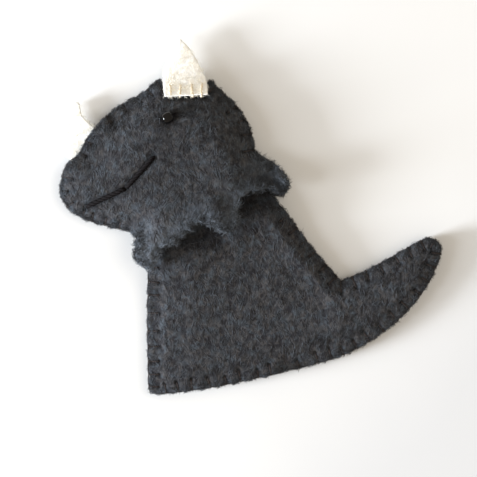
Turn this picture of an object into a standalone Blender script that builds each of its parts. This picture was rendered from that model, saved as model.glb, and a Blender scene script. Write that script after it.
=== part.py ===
"""Felt finger puppet of a horned dinosaur, hand sewn, lying on its back face.

The puppet is a sleeve of two felt body plies with a tail, and a head of two felt plies
sewn over the sleeve's neck. It is seen from +Z with the snout towards -X, and the table
is the plane Z = 0. Every length is in metres. The outlines are drawn from the lower
left corner of the hem, and the finished puppet is centred over its own footprint.
"""

import math

import bmesh
import bpy
from mathutils import Vector, geometry

# Felt plies
FELT = 0.0012
HORN_FELT = 0.0014
PLY_GAP = 0.0003
GRID = 0.0028
OUTLINE_STEP = 0.0018

# Thread and stitches
THREAD = 0.00045
THREAD_GAP = 0.00025
HEAD_PITCH = 0.0035
BODY_PITCH = 0.0038
STITCH_DEPTH = 0.0026
MOUTH_WIDTH = 0.0012
MOUTH_HEIGHT = 0.0006
HORN_THREAD = 0.0005
HORN_THREAD_GAP = 0.0004
HORN_STITCH_COUNT = 4
HORN_STITCH_UP = 0.0026
HORN_STITCH_DOWN = 0.0012

# Eye
BEAD_WIDTH = 0.0031
BEAD_LENGTH = 0.0026
BORE = 0.0010
BEAD_AT = (0.0042, 0.0690)
BEAD_TURN = math.radians(30.0)
EYE_THREAD = 0.0004
EYE_THREAD_REACH = 0.0007

# Loft of the layers over the table
LIFT_REACH = 0.0060
POCKET_HEM = 0.0065
POCKET_NECK = 0.0050
POCKET_ROUNDING = 1.5
POCKET_CLOSING = 0.0100
SPINE_HEM_X = 0.0175
SPINE_NECK_X = 0.0132
NECK_TOP_Y = 0.0595
STEP_REACH = 0.0080
STEP_MARGIN = 0.0018
HEAD_RISE = 0.0078
SNOUT_RISE = 0.0028
HEAD_SHOULDER = 0.0180
SNOUT_X = -0.0220
NECK_X = 0.0040
NOSE_BUMP_FLAT = 0.0015
NOSE_BUMP_REACH = 0.0050
NOSE_HORN_FALL = 0.0120
BROW_HORN_FALL = 0.0060
HORN_TIP_UNDERSIDE = 0.0008

# Frill lobes: centre, extra lift and radius of each
FRILL_LOBES = (
    ((-0.0006, 0.0330), 0.0012, 0.0060),
    ((0.0190, 0.0415), 0.0022, 0.0065),
    ((0.0330, 0.0520), 0.0005, 0.0050),
)
FRILL_BASE_LEFT = (-0.0005, 0.0310)
FRILL_BASE_RIGHT = (0.0350, 0.0495)

# Body outline, anticlockwise in reverse: up the left side, over the neck, down to the tail
LEFT_EDGE = ((0.0, 0.0), (-0.0003, 0.0140), (-0.0002, 0.0270), (0.0003, 0.0380))
NECK_EDGE = (
    (0.0003, 0.0380),
    (0.0016, 0.0475),
    (0.0050, 0.0555),
    (0.0115, NECK_TOP_Y),
    (0.0180, 0.0592),
    (0.0240, 0.0556),
    (0.0295, 0.0506),
    (0.0330, 0.0464),
)
RIGHT_EDGE = ((0.0330, 0.0464), (0.0395, 0.0374), (0.0476, 0.0278))
TAIL_TOP = ((0.0476, 0.0278), (0.0535, 0.0302), (0.0615, 0.0345), (0.0675, 0.0379), (0.0694, 0.0387))
TAIL_BACK = (
    (0.0694, 0.0387),
    (0.0716, 0.0381),
    (0.0727, 0.0363),
    (0.0721, 0.0335),
    (0.0697, 0.0279),
    (0.0648, 0.0212),
    (0.0575, 0.0148),
    (0.0480, 0.0095),
    (0.0360, 0.0060),
)
HEM_EDGE = ((0.0360, 0.0060), (0.0270, 0.0039), (0.0145, 0.0014), (0.0035, 0.0), (0.0, 0.0))

# Head outline: the sewn edge from chin to nape, then the free edge of the frill
HEAD_FACE = (
    (-0.0050, 0.0405),
    (-0.0110, 0.0419),
    (-0.0165, 0.0437),
    (-0.0204, 0.0463),
    (-0.0222, 0.0498),
    (-0.0218, 0.0540),
    (-0.0205, 0.0572),
    (-0.0178, 0.0592),
    (-0.0158, 0.0630),
    (-0.0120, 0.0678),
    (-0.0070, 0.0718),
    (-0.0010, 0.0752),
    (0.0020, 0.0783),
)
HEAD_CROWN = ((0.0020, 0.0783), (0.0042, 0.0766), (0.0090, 0.0764), (0.0136, 0.0768), (0.0152, 0.0780))
HEAD_NAPE = (
    (0.0152, 0.0780),
    (0.0173, 0.0757),
    (0.0210, 0.0722),
    (0.0240, 0.0678),
    (0.0255, 0.0640),
    (0.0260, 0.0606),
)
FRILL_EDGE = (
    (0.0260, 0.0606),
    (0.0284, 0.0582),
    (0.0314, 0.0566),
    (0.0338, 0.0546),
    (0.0346, 0.0516),
    (0.0334, 0.0493),
    (0.0288, 0.0494),
    (0.0243, 0.0469),
    (0.0222, 0.0428),
    (0.0192, 0.0402),
    (0.0156, 0.0414),
    (0.0122, 0.0429),
    (0.0075, 0.0383),
    (0.0032, 0.0336),
    (-0.0006, 0.0312),
    (-0.0028, 0.0325),
    (-0.0036, 0.0358),
    (-0.0030, 0.0390),
    (-0.0050, 0.0405),
)
NAPE_SHOULDER = (0.0305, 0.0570)

# Horn outlines
BROW_HORN = (
    (0.0037, 0.0738),
    (0.0034, 0.0792),
    (0.0048, 0.0832),
    (0.0068, 0.0874),
    (0.0076, 0.0883),
    (0.0101, 0.0857),
    (0.0119, 0.0827),
    (0.0134, 0.0798),
    (0.0144, 0.0768),
    (0.0145, 0.0743),
)
NOSE_HORN_FREE = (
    (-0.0197, 0.0585),
    (-0.0212, 0.0608),
    (-0.0207, 0.0660),
    (-0.0195, 0.0698),
    (-0.0180, 0.0727),
    (-0.0173, 0.0692),
    (-0.0155, 0.0673),
    (-0.0135, 0.0658),
)
NOSE_HORN_TUCK = 0.0040
NOSE_STITCHED_FROM = (-0.0193, 0.0582)
NOSE_STITCHED_TO = (-0.0150, 0.0641)
SNOUT_STITCHES_END = (-0.0212, 0.0560)
BROW_STITCHES_START = (-0.0124, 0.0674)

# Mouth line, from the snout's edge back to the cheek
MOUTH = ((-0.0148, 0.0471), (-0.0058, 0.0509), (0.0011, 0.0589))
MOUTH_STEP = 0.0017

# Ends of the seams
HEM_SEAM_INSET = 0.0007
CHIN_SEAM_INSET = 0.0010
HEM_THREAD_INSET = 0.0024
LOBE_SEAM_INSET = 0.0008

EDGE_LIFT = THREAD + THREAD_GAP
LAYER = FELT + PLY_GAP
EDGE_TOP = EDGE_LIFT + LAYER


def smooth_step(value):
    """Return 0 below 0, 1 above 1 and a smooth ramp between."""
    clamped = min(max(value, 0.0), 1.0)
    return clamped * clamped * (3.0 - 2.0 * clamped)


def blend(start, end, share):
    """Return the value that lies `share` of the way from start to end."""
    return start + (end - start) * share


def smooth_run(knots, step):
    """Return points about `step` apart on a smooth curve through the knots, ends included."""
    points = [Vector((x, y, 0.0)) for x, y in knots]
    tangents = []
    for index, point in enumerate(points):
        before = points[max(index - 1, 0)]
        after = points[min(index + 1, len(points) - 1)]
        reach = (point - before).length + (after - point).length
        tangents.append((after - before) / reach)
    run = [points[0]]
    for index in range(len(points) - 1):
        start = points[index]
        end = points[index + 1]
        span = (end - start).length
        count = max(round(span / step), 1) + 1
        handle_a = start + tangents[index] * span / 3.0
        handle_b = end - tangents[index + 1] * span / 3.0
        run.extend(geometry.interpolate_bezier(start, handle_a, handle_b, end, count)[1:])
    return [point.to_2d() for point in run]


def join_runs(*runs):
    """Join runs that share their end points into one list, without repeating a point."""
    joined = list(runs[0])
    for run in runs[1:]:
        joined.extend(run[1:])
    return joined


def closed(points):
    """Drop the last point of a loop when it repeats the first."""
    return points[:-1] if (points[0] - points[-1]).length < 1e-9 else points


def distance_to_segment(point, start, end):
    """Return how far a point lies from the segment between two points."""
    along = end - start
    share = (point - start).dot(along) / along.length_squared
    return (point - start - along * min(max(share, 0.0), 1.0)).length


def distance_to_run(point, run):
    """Return how far a point lies from a run of points."""
    return min(distance_to_segment(point, start, end) for start, end in zip(run, run[1:]))


def is_inside(point, outline):
    """Tell whether a point lies inside a closed outline."""
    inside = False
    for start, end in zip(outline, outline[1:] + outline[:1]):
        if (start.y > point.y) != (end.y > point.y):
            crossing = start.x + (point.y - start.y) / (end.y - start.y) * (end.x - start.x)
            if point.x < crossing:
                inside = not inside
    return inside


left_run = smooth_run(LEFT_EDGE, OUTLINE_STEP)
neck_run = smooth_run(NECK_EDGE, OUTLINE_STEP)
right_run = smooth_run(RIGHT_EDGE, OUTLINE_STEP)
tail_run = join_runs(smooth_run(TAIL_TOP, OUTLINE_STEP), smooth_run(TAIL_BACK, OUTLINE_STEP))
hem_run = smooth_run(HEM_EDGE, OUTLINE_STEP)
body_loop = join_runs(left_run, neck_run, right_run, tail_run, hem_run)
body_outline = closed(body_loop)

seam_run = join_runs(
    smooth_run(HEAD_FACE, OUTLINE_STEP),
    smooth_run(HEAD_CROWN, OUTLINE_STEP),
    smooth_run(HEAD_NAPE, OUTLINE_STEP),
)
head_outline = closed(join_runs(seam_run, smooth_run(FRILL_EDGE, OUTLINE_STEP)))
hold_down_run = seam_run + [Vector(NAPE_SHOULDER)]
brow_outline = closed(smooth_run(BROW_HORN, OUTLINE_STEP))
nose_free_run = smooth_run(NOSE_HORN_FREE, OUTLINE_STEP)


def nose_horn_outline():
    """Return the nose horn's outline, with the straight tuck that the head plies hold."""
    start = nose_free_run[0]
    end = nose_free_run[-1]
    base = (end - start).normalized()
    inward = Vector((base.y, -base.x)) * NOSE_HORN_TUCK
    return nose_free_run + [end + inward, start + inward]


def edge_lift(distance):
    """Return how far a ply's margin is held off the table by the stitches that run under it."""
    return EDGE_LIFT * (1.0 - smooth_step((distance - STITCH_DEPTH) / LIFT_REACH))


def step_share(point):
    """Return 1 where the sleeve lies on the back ply of the head and 0 where it is past it."""
    base = Vector(FRILL_BASE_LEFT)
    along = (Vector(FRILL_BASE_RIGHT) - base).normalized()
    offset = point - base
    past = along.x * offset.y - along.y * offset.x + STEP_MARGIN
    return smooth_step(1.0 + past / STEP_REACH)


def left_edge_x(height):
    """Return where the sleeve's left edge stands at a height along the body."""
    side = left_run + neck_run[1:]
    for start, end in zip(side, side[1:]):
        if start.y <= height <= end.y:
            return blend(start.x, end.x, (height - start.y) / (end.y - start.y))
    return side[0].x


def pocket_height(point):
    """Return how far the front of the sleeve stands off its back at a point."""
    height = min(max(point.y, 0.0), NECK_TOP_Y)
    up = height / NECK_TOP_Y
    spine = blend(SPINE_HEM_X, SPINE_NECK_X, up)
    reach = spine - left_edge_x(height) - STITCH_DEPTH
    closing = smooth_step((NECK_TOP_Y - height) / POCKET_CLOSING)
    across = (point.x - spine) / reach if reach > 0.0 else 1.0
    if abs(across) >= 1.0:
        return 0.0
    arch = (1.0 - across * across) ** POCKET_ROUNDING
    return blend(POCKET_HEM, POCKET_NECK, up * up) * arch * closing


def body_back_underside(point):
    """Return the height of the back body ply over the table."""
    return LAYER * step_share(point) + edge_lift(distance_to_run(point, body_loop))


def body_front_underside(point):
    """Return the height of the front body ply's inner face."""
    return body_back_underside(point) + LAYER + pocket_height(point)


def head_back_underside(point):
    """Return the height of the back head ply over the table."""
    return edge_lift(distance_to_run(point, seam_run))


def nose_bump(point):
    """Return how far the nose horn's root spreads the head plies at a point."""
    root = distance_to_segment(point, nose_free_run[0], nose_free_run[-1])
    return (HORN_FELT + PLY_GAP) * (1.0 - smooth_step((root - NOSE_BUMP_FLAT) / NOSE_BUMP_REACH))


def frill_flare(point):
    """Return the extra lift of the frill's lobes at a point."""
    lift = 0.0
    for centre, height, radius in FRILL_LOBES:
        lift += height * math.exp(-((point - Vector(centre)).length / radius) ** 2)
    return lift


def head_front_underside(point):
    """Return the height of the front head ply's inner face."""
    inward = min(distance_to_run(point, hold_down_run) / HEAD_SHOULDER, 1.0)
    rise = blend(SNOUT_RISE, HEAD_RISE, smooth_step((point.x - SNOUT_X) / (NECK_X - SNOUT_X)))
    dome = rise * (1.0 - (1.0 - inward) ** 2)
    return EDGE_TOP + dome + nose_bump(point) + frill_flare(point)


def head_front_top(point):
    """Return the height of the front head ply's outer face."""
    return head_front_underside(point) + FELT


def brow_horn_underside(point):
    """Return the height of the brow horn's lower face, which leans off the crown to the table."""
    base_left = Vector(BROW_HORN[0])
    base_right = Vector(BROW_HORN[-1])
    along = (base_right - base_left).normalized()
    offset = point - base_left
    past_base = along.x * offset.y - along.y * offset.x
    rests = (base_left, (base_left + base_right) / 2.0, base_right)
    seat = max(head_front_top(rest) for rest in rests) + PLY_GAP
    return blend(HORN_TIP_UNDERSIDE, seat, math.exp(-past_base / BROW_HORN_FALL))


def brow_horn_top(point):
    """Return the height of the brow horn's upper face."""
    return brow_horn_underside(point) + HORN_FELT


def nose_horn_underside(point):
    """Return the height of the nose horn's lower face."""
    if is_inside(point, head_outline):
        return EDGE_TOP
    outward = distance_to_run(point, seam_run) / NOSE_HORN_FALL
    return blend(EDGE_TOP, HORN_TIP_UNDERSIDE, smooth_step(outward))


def above(point, face_height, clearance):
    """Return the place at a clearance from a face, square to it, over a point in plan."""
    step = 0.0002
    east = face_height(point + Vector((step, 0.0))) - face_height(point - Vector((step, 0.0)))
    north = face_height(point + Vector((0.0, step))) - face_height(point - Vector((0.0, step)))
    square = Vector((-east, -north, 2.0 * step)).normalized()
    return Vector((point.x, point.y, face_height(point))) + square * clearance


def make_material(name, colour, roughness):
    """Create a plain material with a colour and a roughness."""
    material = bpy.data.materials.new(name)
    material.use_nodes = True
    shader = material.node_tree.nodes["Principled BSDF"]
    shader.inputs["Base Color"].default_value = (*colour, 1.0)
    shader.inputs["Roughness"].default_value = roughness
    shader.inputs["Metallic"].default_value = 0.0
    material.diffuse_color = (*colour, 1.0)
    return material


def finish(name, shape, colour, roughness, smooth_angle):
    """Turn a bmesh into a named object with its own material and smooth faces."""
    bmesh.ops.recalc_face_normals(shape, faces=shape.faces)
    mesh = bpy.data.meshes.new(name)
    shape.to_mesh(mesh)
    shape.free()
    mesh.shade_smooth()
    mesh.set_sharp_from_angle(angle=smooth_angle)
    mesh.materials.append(make_material(name, colour, roughness))
    piece = bpy.data.objects.new(name, mesh)
    bpy.context.collection.objects.link(piece)
    return piece


def seam_row(outline, spacing):
    """Return the row of points where the stitches enter the felt, inside its edge."""
    rim = outline + outline[:1]
    points = []
    for index, point in enumerate(outline):
        along = (outline[(index + 1) % len(outline)] - outline[index - 1]).normalized()
        inner = point + Vector((along.y, -along.x)) * STITCH_DEPTH
        clear = not points or min((inner - other).length for other in points) > spacing * 0.5
        if clear and is_inside(inner, outline) and distance_to_run(inner, rim) > STITCH_DEPTH * 0.9:
            points.append(inner)
    return points


def inner_grid(outline, spacing):
    """Return the points of a triangular grid that lie inside an outline's row of stitches."""
    left = min(point.x for point in outline)
    right = max(point.x for point in outline)
    low = min(point.y for point in outline)
    high = max(point.y for point in outline)
    row_height = spacing * math.sqrt(3.0) / 2.0
    rim = outline + outline[:1]
    points = []
    for row in range(int((high - low) / row_height) + 1):
        shift = spacing / 2.0 if row % 2 else 0.0
        for column in range(int((right - left) / spacing) + 1):
            point = Vector((left + shift + column * spacing, low + row * row_height))
            margin = STITCH_DEPTH + spacing * 0.5
            if is_inside(point, outline) and distance_to_run(point, rim) > margin:
                points.append(point)
    return points


def felt_ply(name, outline, underside, thickness, colour):
    """Build a ply of felt as a closed solid between its lower face and its upper face."""
    count = len(outline)
    rim = [(index, (index + 1) % count) for index in range(count)]
    flat = outline + seam_row(outline, GRID) + inner_grid(outline, GRID)
    points, _, faces, _, _, _ = geometry.delaunay_2d_cdt(flat, rim, [], 1, 1e-9)
    shape = bmesh.new()
    corners = [shape.verts.new((point.x, point.y, underside(point))) for point in points]
    for face in faces:
        shape.faces.new([corners[index] for index in face])
    raised = bmesh.ops.extrude_face_region(shape, geom=shape.faces[:], use_keep_orig=True)
    upper = [item for item in raised["geom"] if isinstance(item, bmesh.types.BMVert)]
    bmesh.ops.translate(shape, verts=upper, vec=(0.0, 0.0, thickness))
    return finish(name, shape, colour, 0.95, math.radians(50.0))


def run_lengths(run):
    """Return the distance along a run at each of its points."""
    lengths = [0.0]
    for start, end in zip(run, run[1:]):
        lengths.append(lengths[-1] + (end - start).length)
    return lengths


def point_at(run, lengths, distance):
    """Return the point at a distance along a run."""
    for index in range(len(run) - 1):
        if distance <= lengths[index + 1]:
            share = (distance - lengths[index]) / (lengths[index + 1] - lengths[index])
            return run[index].lerp(run[index + 1], share)
    return run[-1].copy()


def outward_at(run, lengths, distance):
    """Return the unit normal on the left of a run, smoothed over a thread's bend."""
    reach = 3.0 * THREAD
    before = point_at(run, lengths, max(distance - reach, 0.0))
    after = point_at(run, lengths, min(distance + reach, lengths[-1]))
    along = (after - before).normalized()
    return Vector((-along.y, along.x))


def sharp_corners(run, lengths):
    """Return the distances along a run at which it turns sharply."""
    corners = []
    for index in range(1, len(run) - 1):
        turn = (run[index] - run[index - 1]).angle(run[index + 1] - run[index])
        if turn > 0.5:
            corners.append(lengths[index])
    return corners


def run_between(run, start, end):
    """Return the part of a run from the place nearest to start to the place nearest to end."""
    lengths = run_lengths(run)
    samples = [lengths[-1] * index / 400.0 for index in range(401)]
    first = min(samples, key=lambda length: (point_at(run, lengths, length) - start).length)
    last = min(samples, key=lambda length: (point_at(run, lengths, length) - end).length)
    inner = [point for point, length in zip(run, lengths) if first < length < last]
    return [point_at(run, lengths, first)] + inner + [point_at(run, lengths, last)]


def inset_ends(run, start_inset, end_inset):
    """Return a run shortened at both ends."""
    lengths = run_lengths(run)
    first = point_at(run, lengths, start_inset)
    last = point_at(run, lengths, lengths[-1] - end_inset)
    inner = [
        point
        for point, length in zip(run, lengths)
        if start_inset < length < lengths[-1] - end_inset
    ]
    return [first] + inner + [last]


def add_leg(shape, root, outward, face_height, side):
    """Grow a stitch's leg from a face of the edge thread, over the ply's edge and inward.

    root holds the four corners of the face in the order inner, outer, outer, inner, and
    face_height gives the height of the ply's face that the leg lies on.
    """
    near = side * THREAD_GAP
    far = side * (THREAD_GAP + THREAD)
    bend = []
    for corner, offset in zip(root, (near, far, far, near)):
        place = corner.co.to_2d()
        edge = place - outward * PLY_GAP
        bend.append(shape.verts.new((place.x, place.y, face_height(edge) + offset)))
    tip = []
    for corner, offset in zip((root[0], root[0], root[3], root[3]), (near, far, far, near)):
        place = corner.co.to_2d() - outward * (STITCH_DEPTH + PLY_GAP)
        tip.append(shape.verts.new((place.x, place.y, face_height(place) + offset)))
    for lower, upper in ((root, bend), (bend, tip)):
        for index in range(4):
            following = (index + 1) % 4
            shape.faces.new((lower[index], lower[following], upper[following], upper[index]))
    shape.faces.new(tip)


def blanket_thread(name, run, heights, pitch, legs, colour):
    """Build the thread of a blanket stitch: a cord along an edge with legs over the felt.

    heights gives, for a point, the cord's middle, the upper face it is sewn through and
    the lower face. legs tells, for a point, whether it has an upper and a lower leg.
    """
    half = THREAD / 2.0
    lengths = run_lengths(run)
    count = max(round(lengths[-1] / pitch), 1)
    spacing = lengths[-1] / count
    stitches = [spacing * (index + 0.5) for index in range(count)]
    stations = [half, lengths[-1] - half]
    for middle in stitches:
        stations.extend((middle - half, middle + half))
    for middle in stitches[:-1]:
        stations.extend((middle + spacing / 3.0, middle + spacing * 2.0 / 3.0))
    for corner in sharp_corners(run, lengths):
        if min(abs(corner - station) for station in stations) > half:
            stations.append(corner)
    stations.sort()

    shape = bmesh.new()
    rings = []
    for distance in stations:
        point = point_at(run, lengths, distance)
        outward = outward_at(run, lengths, distance)
        inner = point + outward * PLY_GAP
        outer = point + outward * (PLY_GAP + THREAD)
        level = heights(point)[0]
        rings.append((
            shape.verts.new((inner.x, inner.y, level + half)),
            shape.verts.new((outer.x, outer.y, level + half)),
            shape.verts.new((outer.x, outer.y, level - half)),
            shape.verts.new((inner.x, inner.y, level - half)),
        ))
    for index in range(len(rings) - 1):
        here = rings[index]
        there = rings[index + 1]
        middle = (stations[index] + stations[index + 1]) / 2.0
        is_stitch = min(abs(middle - stitch) for stitch in stitches) < half / 2.0
        point = point_at(run, lengths, middle)
        outward = outward_at(run, lengths, middle)
        has_upper, has_lower = legs(point)
        for side in range(4):
            following = (side + 1) % 4
            if is_stitch and side == 0 and has_upper:
                root = (here[0], here[1], there[1], there[0])
                add_leg(shape, root, outward, lambda place: heights(place)[1], 1.0)
            elif is_stitch and side == 2 and has_lower:
                root = (here[3], here[2], there[2], there[3])
                add_leg(shape, root, outward, lambda place: heights(place)[2], -1.0)
            else:
                shape.faces.new((here[side], there[side], there[following], here[following]))
    shape.faces.new(rings[0])
    shape.faces.new(rings[-1])
    return finish(name, shape, colour, 0.8, math.radians(40.0))


def flat_cord(name, path, width, height, colour):
    """Build a cord of rectangular section along a path of 3D points."""
    shape = bmesh.new()
    rings = []
    for index, point in enumerate(path):
        before = path[max(index - 1, 0)]
        after = path[min(index + 1, len(path) - 1)]
        along = (after - before).normalized()
        across = along.cross(Vector((0.0, 0.0, 1.0)))
        if across.length < 0.2:
            across = (path[-1] - path[0]).cross(Vector((0.0, 0.0, 1.0)))
        across = across.normalized() * width / 2.0
        rise = across.cross(along).normalized() * height / 2.0
        corners = (across + rise, across - rise, -across - rise, -across + rise)
        rings.append([shape.verts.new(point + corner) for corner in corners])
    for here, there in zip(rings, rings[1:]):
        for side in range(4):
            following = (side + 1) % 4
            shape.faces.new((here[side], here[following], there[following], there[side]))
    shape.faces.new(rings[0])
    shape.faces.new(rings[-1])
    return finish(name, shape, colour, 0.8, math.radians(40.0))


GREY_FELT = (0.050, 0.051, 0.055)
CREAM_FELT = (0.90, 0.86, 0.70)
DARK_THREAD = (0.045, 0.038, 0.038)
CREAM_THREAD = (0.72, 0.62, 0.44)
BLACK_THREAD = (0.012, 0.010, 0.011)
BEAD_BLACK = (0.006, 0.006, 0.007)


def body_heights(point):
    """Return the body seam's cord, front face and back face heights."""
    under = body_back_underside(point)
    return under + FELT + PLY_GAP / 2.0, body_front_underside(point) + FELT, under


def hem_front_heights(point):
    """Return the heights for the thread along the hem's front ply."""
    under = body_front_underside(point)
    return under + FELT / 2.0, under + FELT, under


def hem_back_heights(point):
    """Return the heights for the thread along the hem's back ply."""
    under = body_back_underside(point)
    return under + FELT / 2.0, under + FELT, under


def head_heights(point):
    """Return the head seam's cord, front face and back face heights."""
    under = head_back_underside(point)
    return under + FELT + PLY_GAP / 2.0, head_front_top(point), under


def nose_front_heights(point):
    """Return the heights for the thread that crosses the nose horn's upper face."""
    on_horn = EDGE_TOP + HORN_FELT + THREAD_GAP + THREAD / 2.0
    return on_horn, head_front_top(point), on_horn


def nose_back_heights(point):
    """Return the heights for the thread along the back ply behind the nose horn."""
    under = head_back_underside(point)
    return under + FELT / 2.0, under + FELT, under


def pocket_has_room(point):
    """Tell whether the hem stands open enough for the threads of both plies."""
    return pocket_height(point) > 2.0 * (THREAD + THREAD_GAP)


def build_sheets():
    """Build the four felt plies of the sleeve and the head."""
    felt_ply("body_back", body_outline, body_back_underside, FELT, GREY_FELT)
    felt_ply("body_front", body_outline, body_front_underside, FELT, GREY_FELT)
    felt_ply("head_back", head_outline, head_back_underside, FELT, GREY_FELT)
    felt_ply("head_front", head_outline, head_front_underside, FELT, GREY_FELT)


def build_horns():
    """Build the brow horn, the nose horn and the whip stitches of the brow horn."""
    felt_ply("brow_horn", brow_outline, brow_horn_underside, HORN_FELT, CREAM_FELT)
    felt_ply("nose_horn", nose_horn_outline(), nose_horn_underside, HORN_FELT, CREAM_FELT)
    base_left = Vector(BROW_HORN[0])
    base_right = Vector(BROW_HORN[-1])
    along = (base_right - base_left).normalized()
    upward = Vector((-along.y, along.x))
    clearance = HORN_THREAD_GAP + HORN_THREAD / 2.0
    for index in range(HORN_STITCH_COUNT):
        foot = base_left.lerp(base_right, (index + 0.5) / HORN_STITCH_COUNT)
        path = []
        for share in (1.0, 0.6, 0.2, 0.0):
            path.append(above(foot + upward * HORN_STITCH_UP * share, brow_horn_top, clearance))
        turn = foot - upward * clearance
        path.append(above(turn, brow_horn_top, clearance))
        path.append(above(foot - upward * HORN_STITCH_DOWN, head_front_top, clearance))
        flat_cord(f"brow_horn_stitch_{index + 1}", path, HORN_THREAD, HORN_THREAD, CREAM_THREAD)


def build_eye():
    """Build the glass bead of the eye and the thread that holds it down."""
    centre = Vector(BEAD_AT)
    middle = above(centre, head_front_top, PLY_GAP + BEAD_WIDTH / 2.0)
    axis = Vector((math.cos(BEAD_TURN), math.sin(BEAD_TURN), 0.0))

    shape = bmesh.new()
    steps = 7
    profile = []
    for index in range(steps + 1):
        angle = math.pi * (0.12 + 0.76 * index / steps)
        along = -math.cos(angle) * BEAD_LENGTH / 2.0
        radius = math.sin(angle) * BEAD_WIDTH / 2.0
        profile.append(Vector((along, 0.0, max(radius, BORE / 2.0 + THREAD_GAP))))
    half_bore = profile[-1].x
    for share in (1.0, 0.0, -1.0):
        profile.append(Vector((half_bore * share, 0.0, BORE / 2.0)))
    verts = [shape.verts.new(point) for point in profile]
    edges = [shape.edges.new((verts[i], verts[(i + 1) % len(verts)])) for i in range(len(verts))]
    bmesh.ops.spin(
        shape,
        geom=verts + edges,
        cent=(0.0, 0.0, 0.0),
        axis=(1.0, 0.0, 0.0),
        angle=math.tau,
        steps=18,
        use_merge=True,
    )
    bmesh.ops.remove_doubles(shape, verts=shape.verts, dist=1e-6)
    bead = finish("eye_bead", shape, BEAD_BLACK, 0.08, math.radians(50.0))
    bead.location = middle
    bead.rotation_euler = (0.0, 0.0, BEAD_TURN)

    reach = BEAD_LENGTH / 2.0 + EYE_THREAD_REACH
    turn = BEAD_LENGTH / 2.0 + EYE_THREAD_REACH * 0.6
    path = []
    for share in (-reach, -turn, turn, reach):
        place = middle + axis * share
        if abs(share) == reach:
            place = above(place.to_2d(), head_front_top, PLY_GAP + EYE_THREAD / 2.0)
        path.append(place)
    flat_cord("eye_thread", path, EYE_THREAD, EYE_THREAD, BLACK_THREAD)


def build_mouth():
    """Build the embroidered mouth line that lies on the front of the head."""
    clearance = PLY_GAP + MOUTH_HEIGHT / 2.0
    path = []
    for start, end in zip(MOUTH, MOUTH[1:]):
        first = Vector(start)
        last = Vector(end)
        count = max(round((last - first).length / MOUTH_STEP), 1)
        for index in range(count):
            point = first.lerp(last, index / count)
            path.append(above(point, head_front_top, clearance))
    path.append(above(Vector(MOUTH[-1]), head_front_top, clearance))
    flat_cord("mouth_thread", path, MOUTH_WIDTH, MOUTH_HEIGHT, BLACK_THREAD)


def build_seams():
    """Build the blanket stitch threads of the sleeve, the hem and the head."""
    both = (True, True)
    left_seam = inset_ends(left_run, HEM_SEAM_INSET, CHIN_SEAM_INSET)
    blanket_thread("left_seam_thread", left_seam, body_heights, BODY_PITCH, lambda _: both, DARK_THREAD)
    tail_seam = inset_ends(join_runs(right_run, tail_run), LOBE_SEAM_INSET, HEM_SEAM_INSET)
    blanket_thread("tail_seam_thread", tail_seam, body_heights, BODY_PITCH, lambda _: both, DARK_THREAD)

    hem = inset_ends(hem_run, HEM_THREAD_INSET, HEM_THREAD_INSET)
    blanket_thread(
        "hem_thread_front",
        hem,
        hem_front_heights,
        BODY_PITCH,
        lambda point: (True, pocket_has_room(point)),
        DARK_THREAD,
    )
    blanket_thread(
        "hem_thread_back",
        hem,
        hem_back_heights,
        BODY_PITCH,
        lambda point: (pocket_has_room(point), True),
        DARK_THREAD,
    )

    snout = run_between(seam_run, seam_run[0], Vector(SNOUT_STITCHES_END))
    blanket_thread("snout_seam_thread", snout, head_heights, HEAD_PITCH, lambda _: both, DARK_THREAD)
    nose = run_between(seam_run, Vector(NOSE_STITCHED_FROM), Vector(NOSE_STITCHED_TO))
    blanket_thread(
        "nose_horn_thread_front", nose, nose_front_heights, HEAD_PITCH, lambda _: (True, False), DARK_THREAD
    )
    blanket_thread(
        "nose_horn_thread_back", nose, nose_back_heights, HEAD_PITCH, lambda _: (False, True), DARK_THREAD
    )
    crown = run_between(seam_run, Vector(BROW_STITCHES_START), seam_run[-1])
    blanket_thread(
        "crown_seam_thread",
        crown,
        head_heights,
        HEAD_PITCH,
        lambda point: (not under_brow_horn(point), True),
        DARK_THREAD,
    )


def under_brow_horn(point):
    """Tell whether a stitch at a point of the crown would run under the brow horn."""
    left = BROW_HORN[1][0] - STITCH_DEPTH
    right = BROW_HORN[-1][0] + STITCH_DEPTH
    return left < point.x < right


def centre_on_footprint():
    """Move every piece so that the origin is under the middle of the whole puppet."""
    bpy.context.view_layer.update()
    corners = [
        piece.matrix_world @ Vector(corner)
        for piece in bpy.data.objects
        for corner in piece.bound_box
    ]
    low = Vector([min(corner[axis] for corner in corners) for axis in range(3)])
    high = Vector([max(corner[axis] for corner in corners) for axis in range(3)])
    shift = Vector(((low.x + high.x) / 2.0, (low.y + high.y) / 2.0, low.z))
    for piece in bpy.data.objects:
        piece.location -= shift


def main():
    """Build the whole puppet in an emptied scene."""
    for piece in list(bpy.data.objects):
        bpy.data.objects.remove(piece)
    build_sheets()
    build_horns()
    build_eye()
    build_mouth()
    build_seams()
    centre_on_footprint()


main()
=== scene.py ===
"""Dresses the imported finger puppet: heather felt plies, cream horns, threads and a bead eye."""

import logging
import math
from abc import ABC, abstractmethod
from dataclasses import dataclass, field
from enum import Enum
from typing import Optional, Sequence

import bmesh
import bpy
import numpy as np
from bmesh.types import BMesh
from bpy.types import Material, Mesh, Node, NodeSocket, NodeTree, Object
from mathutils import Matrix, Vector, noise
from mathutils.bvhtree import BVHTree


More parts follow.
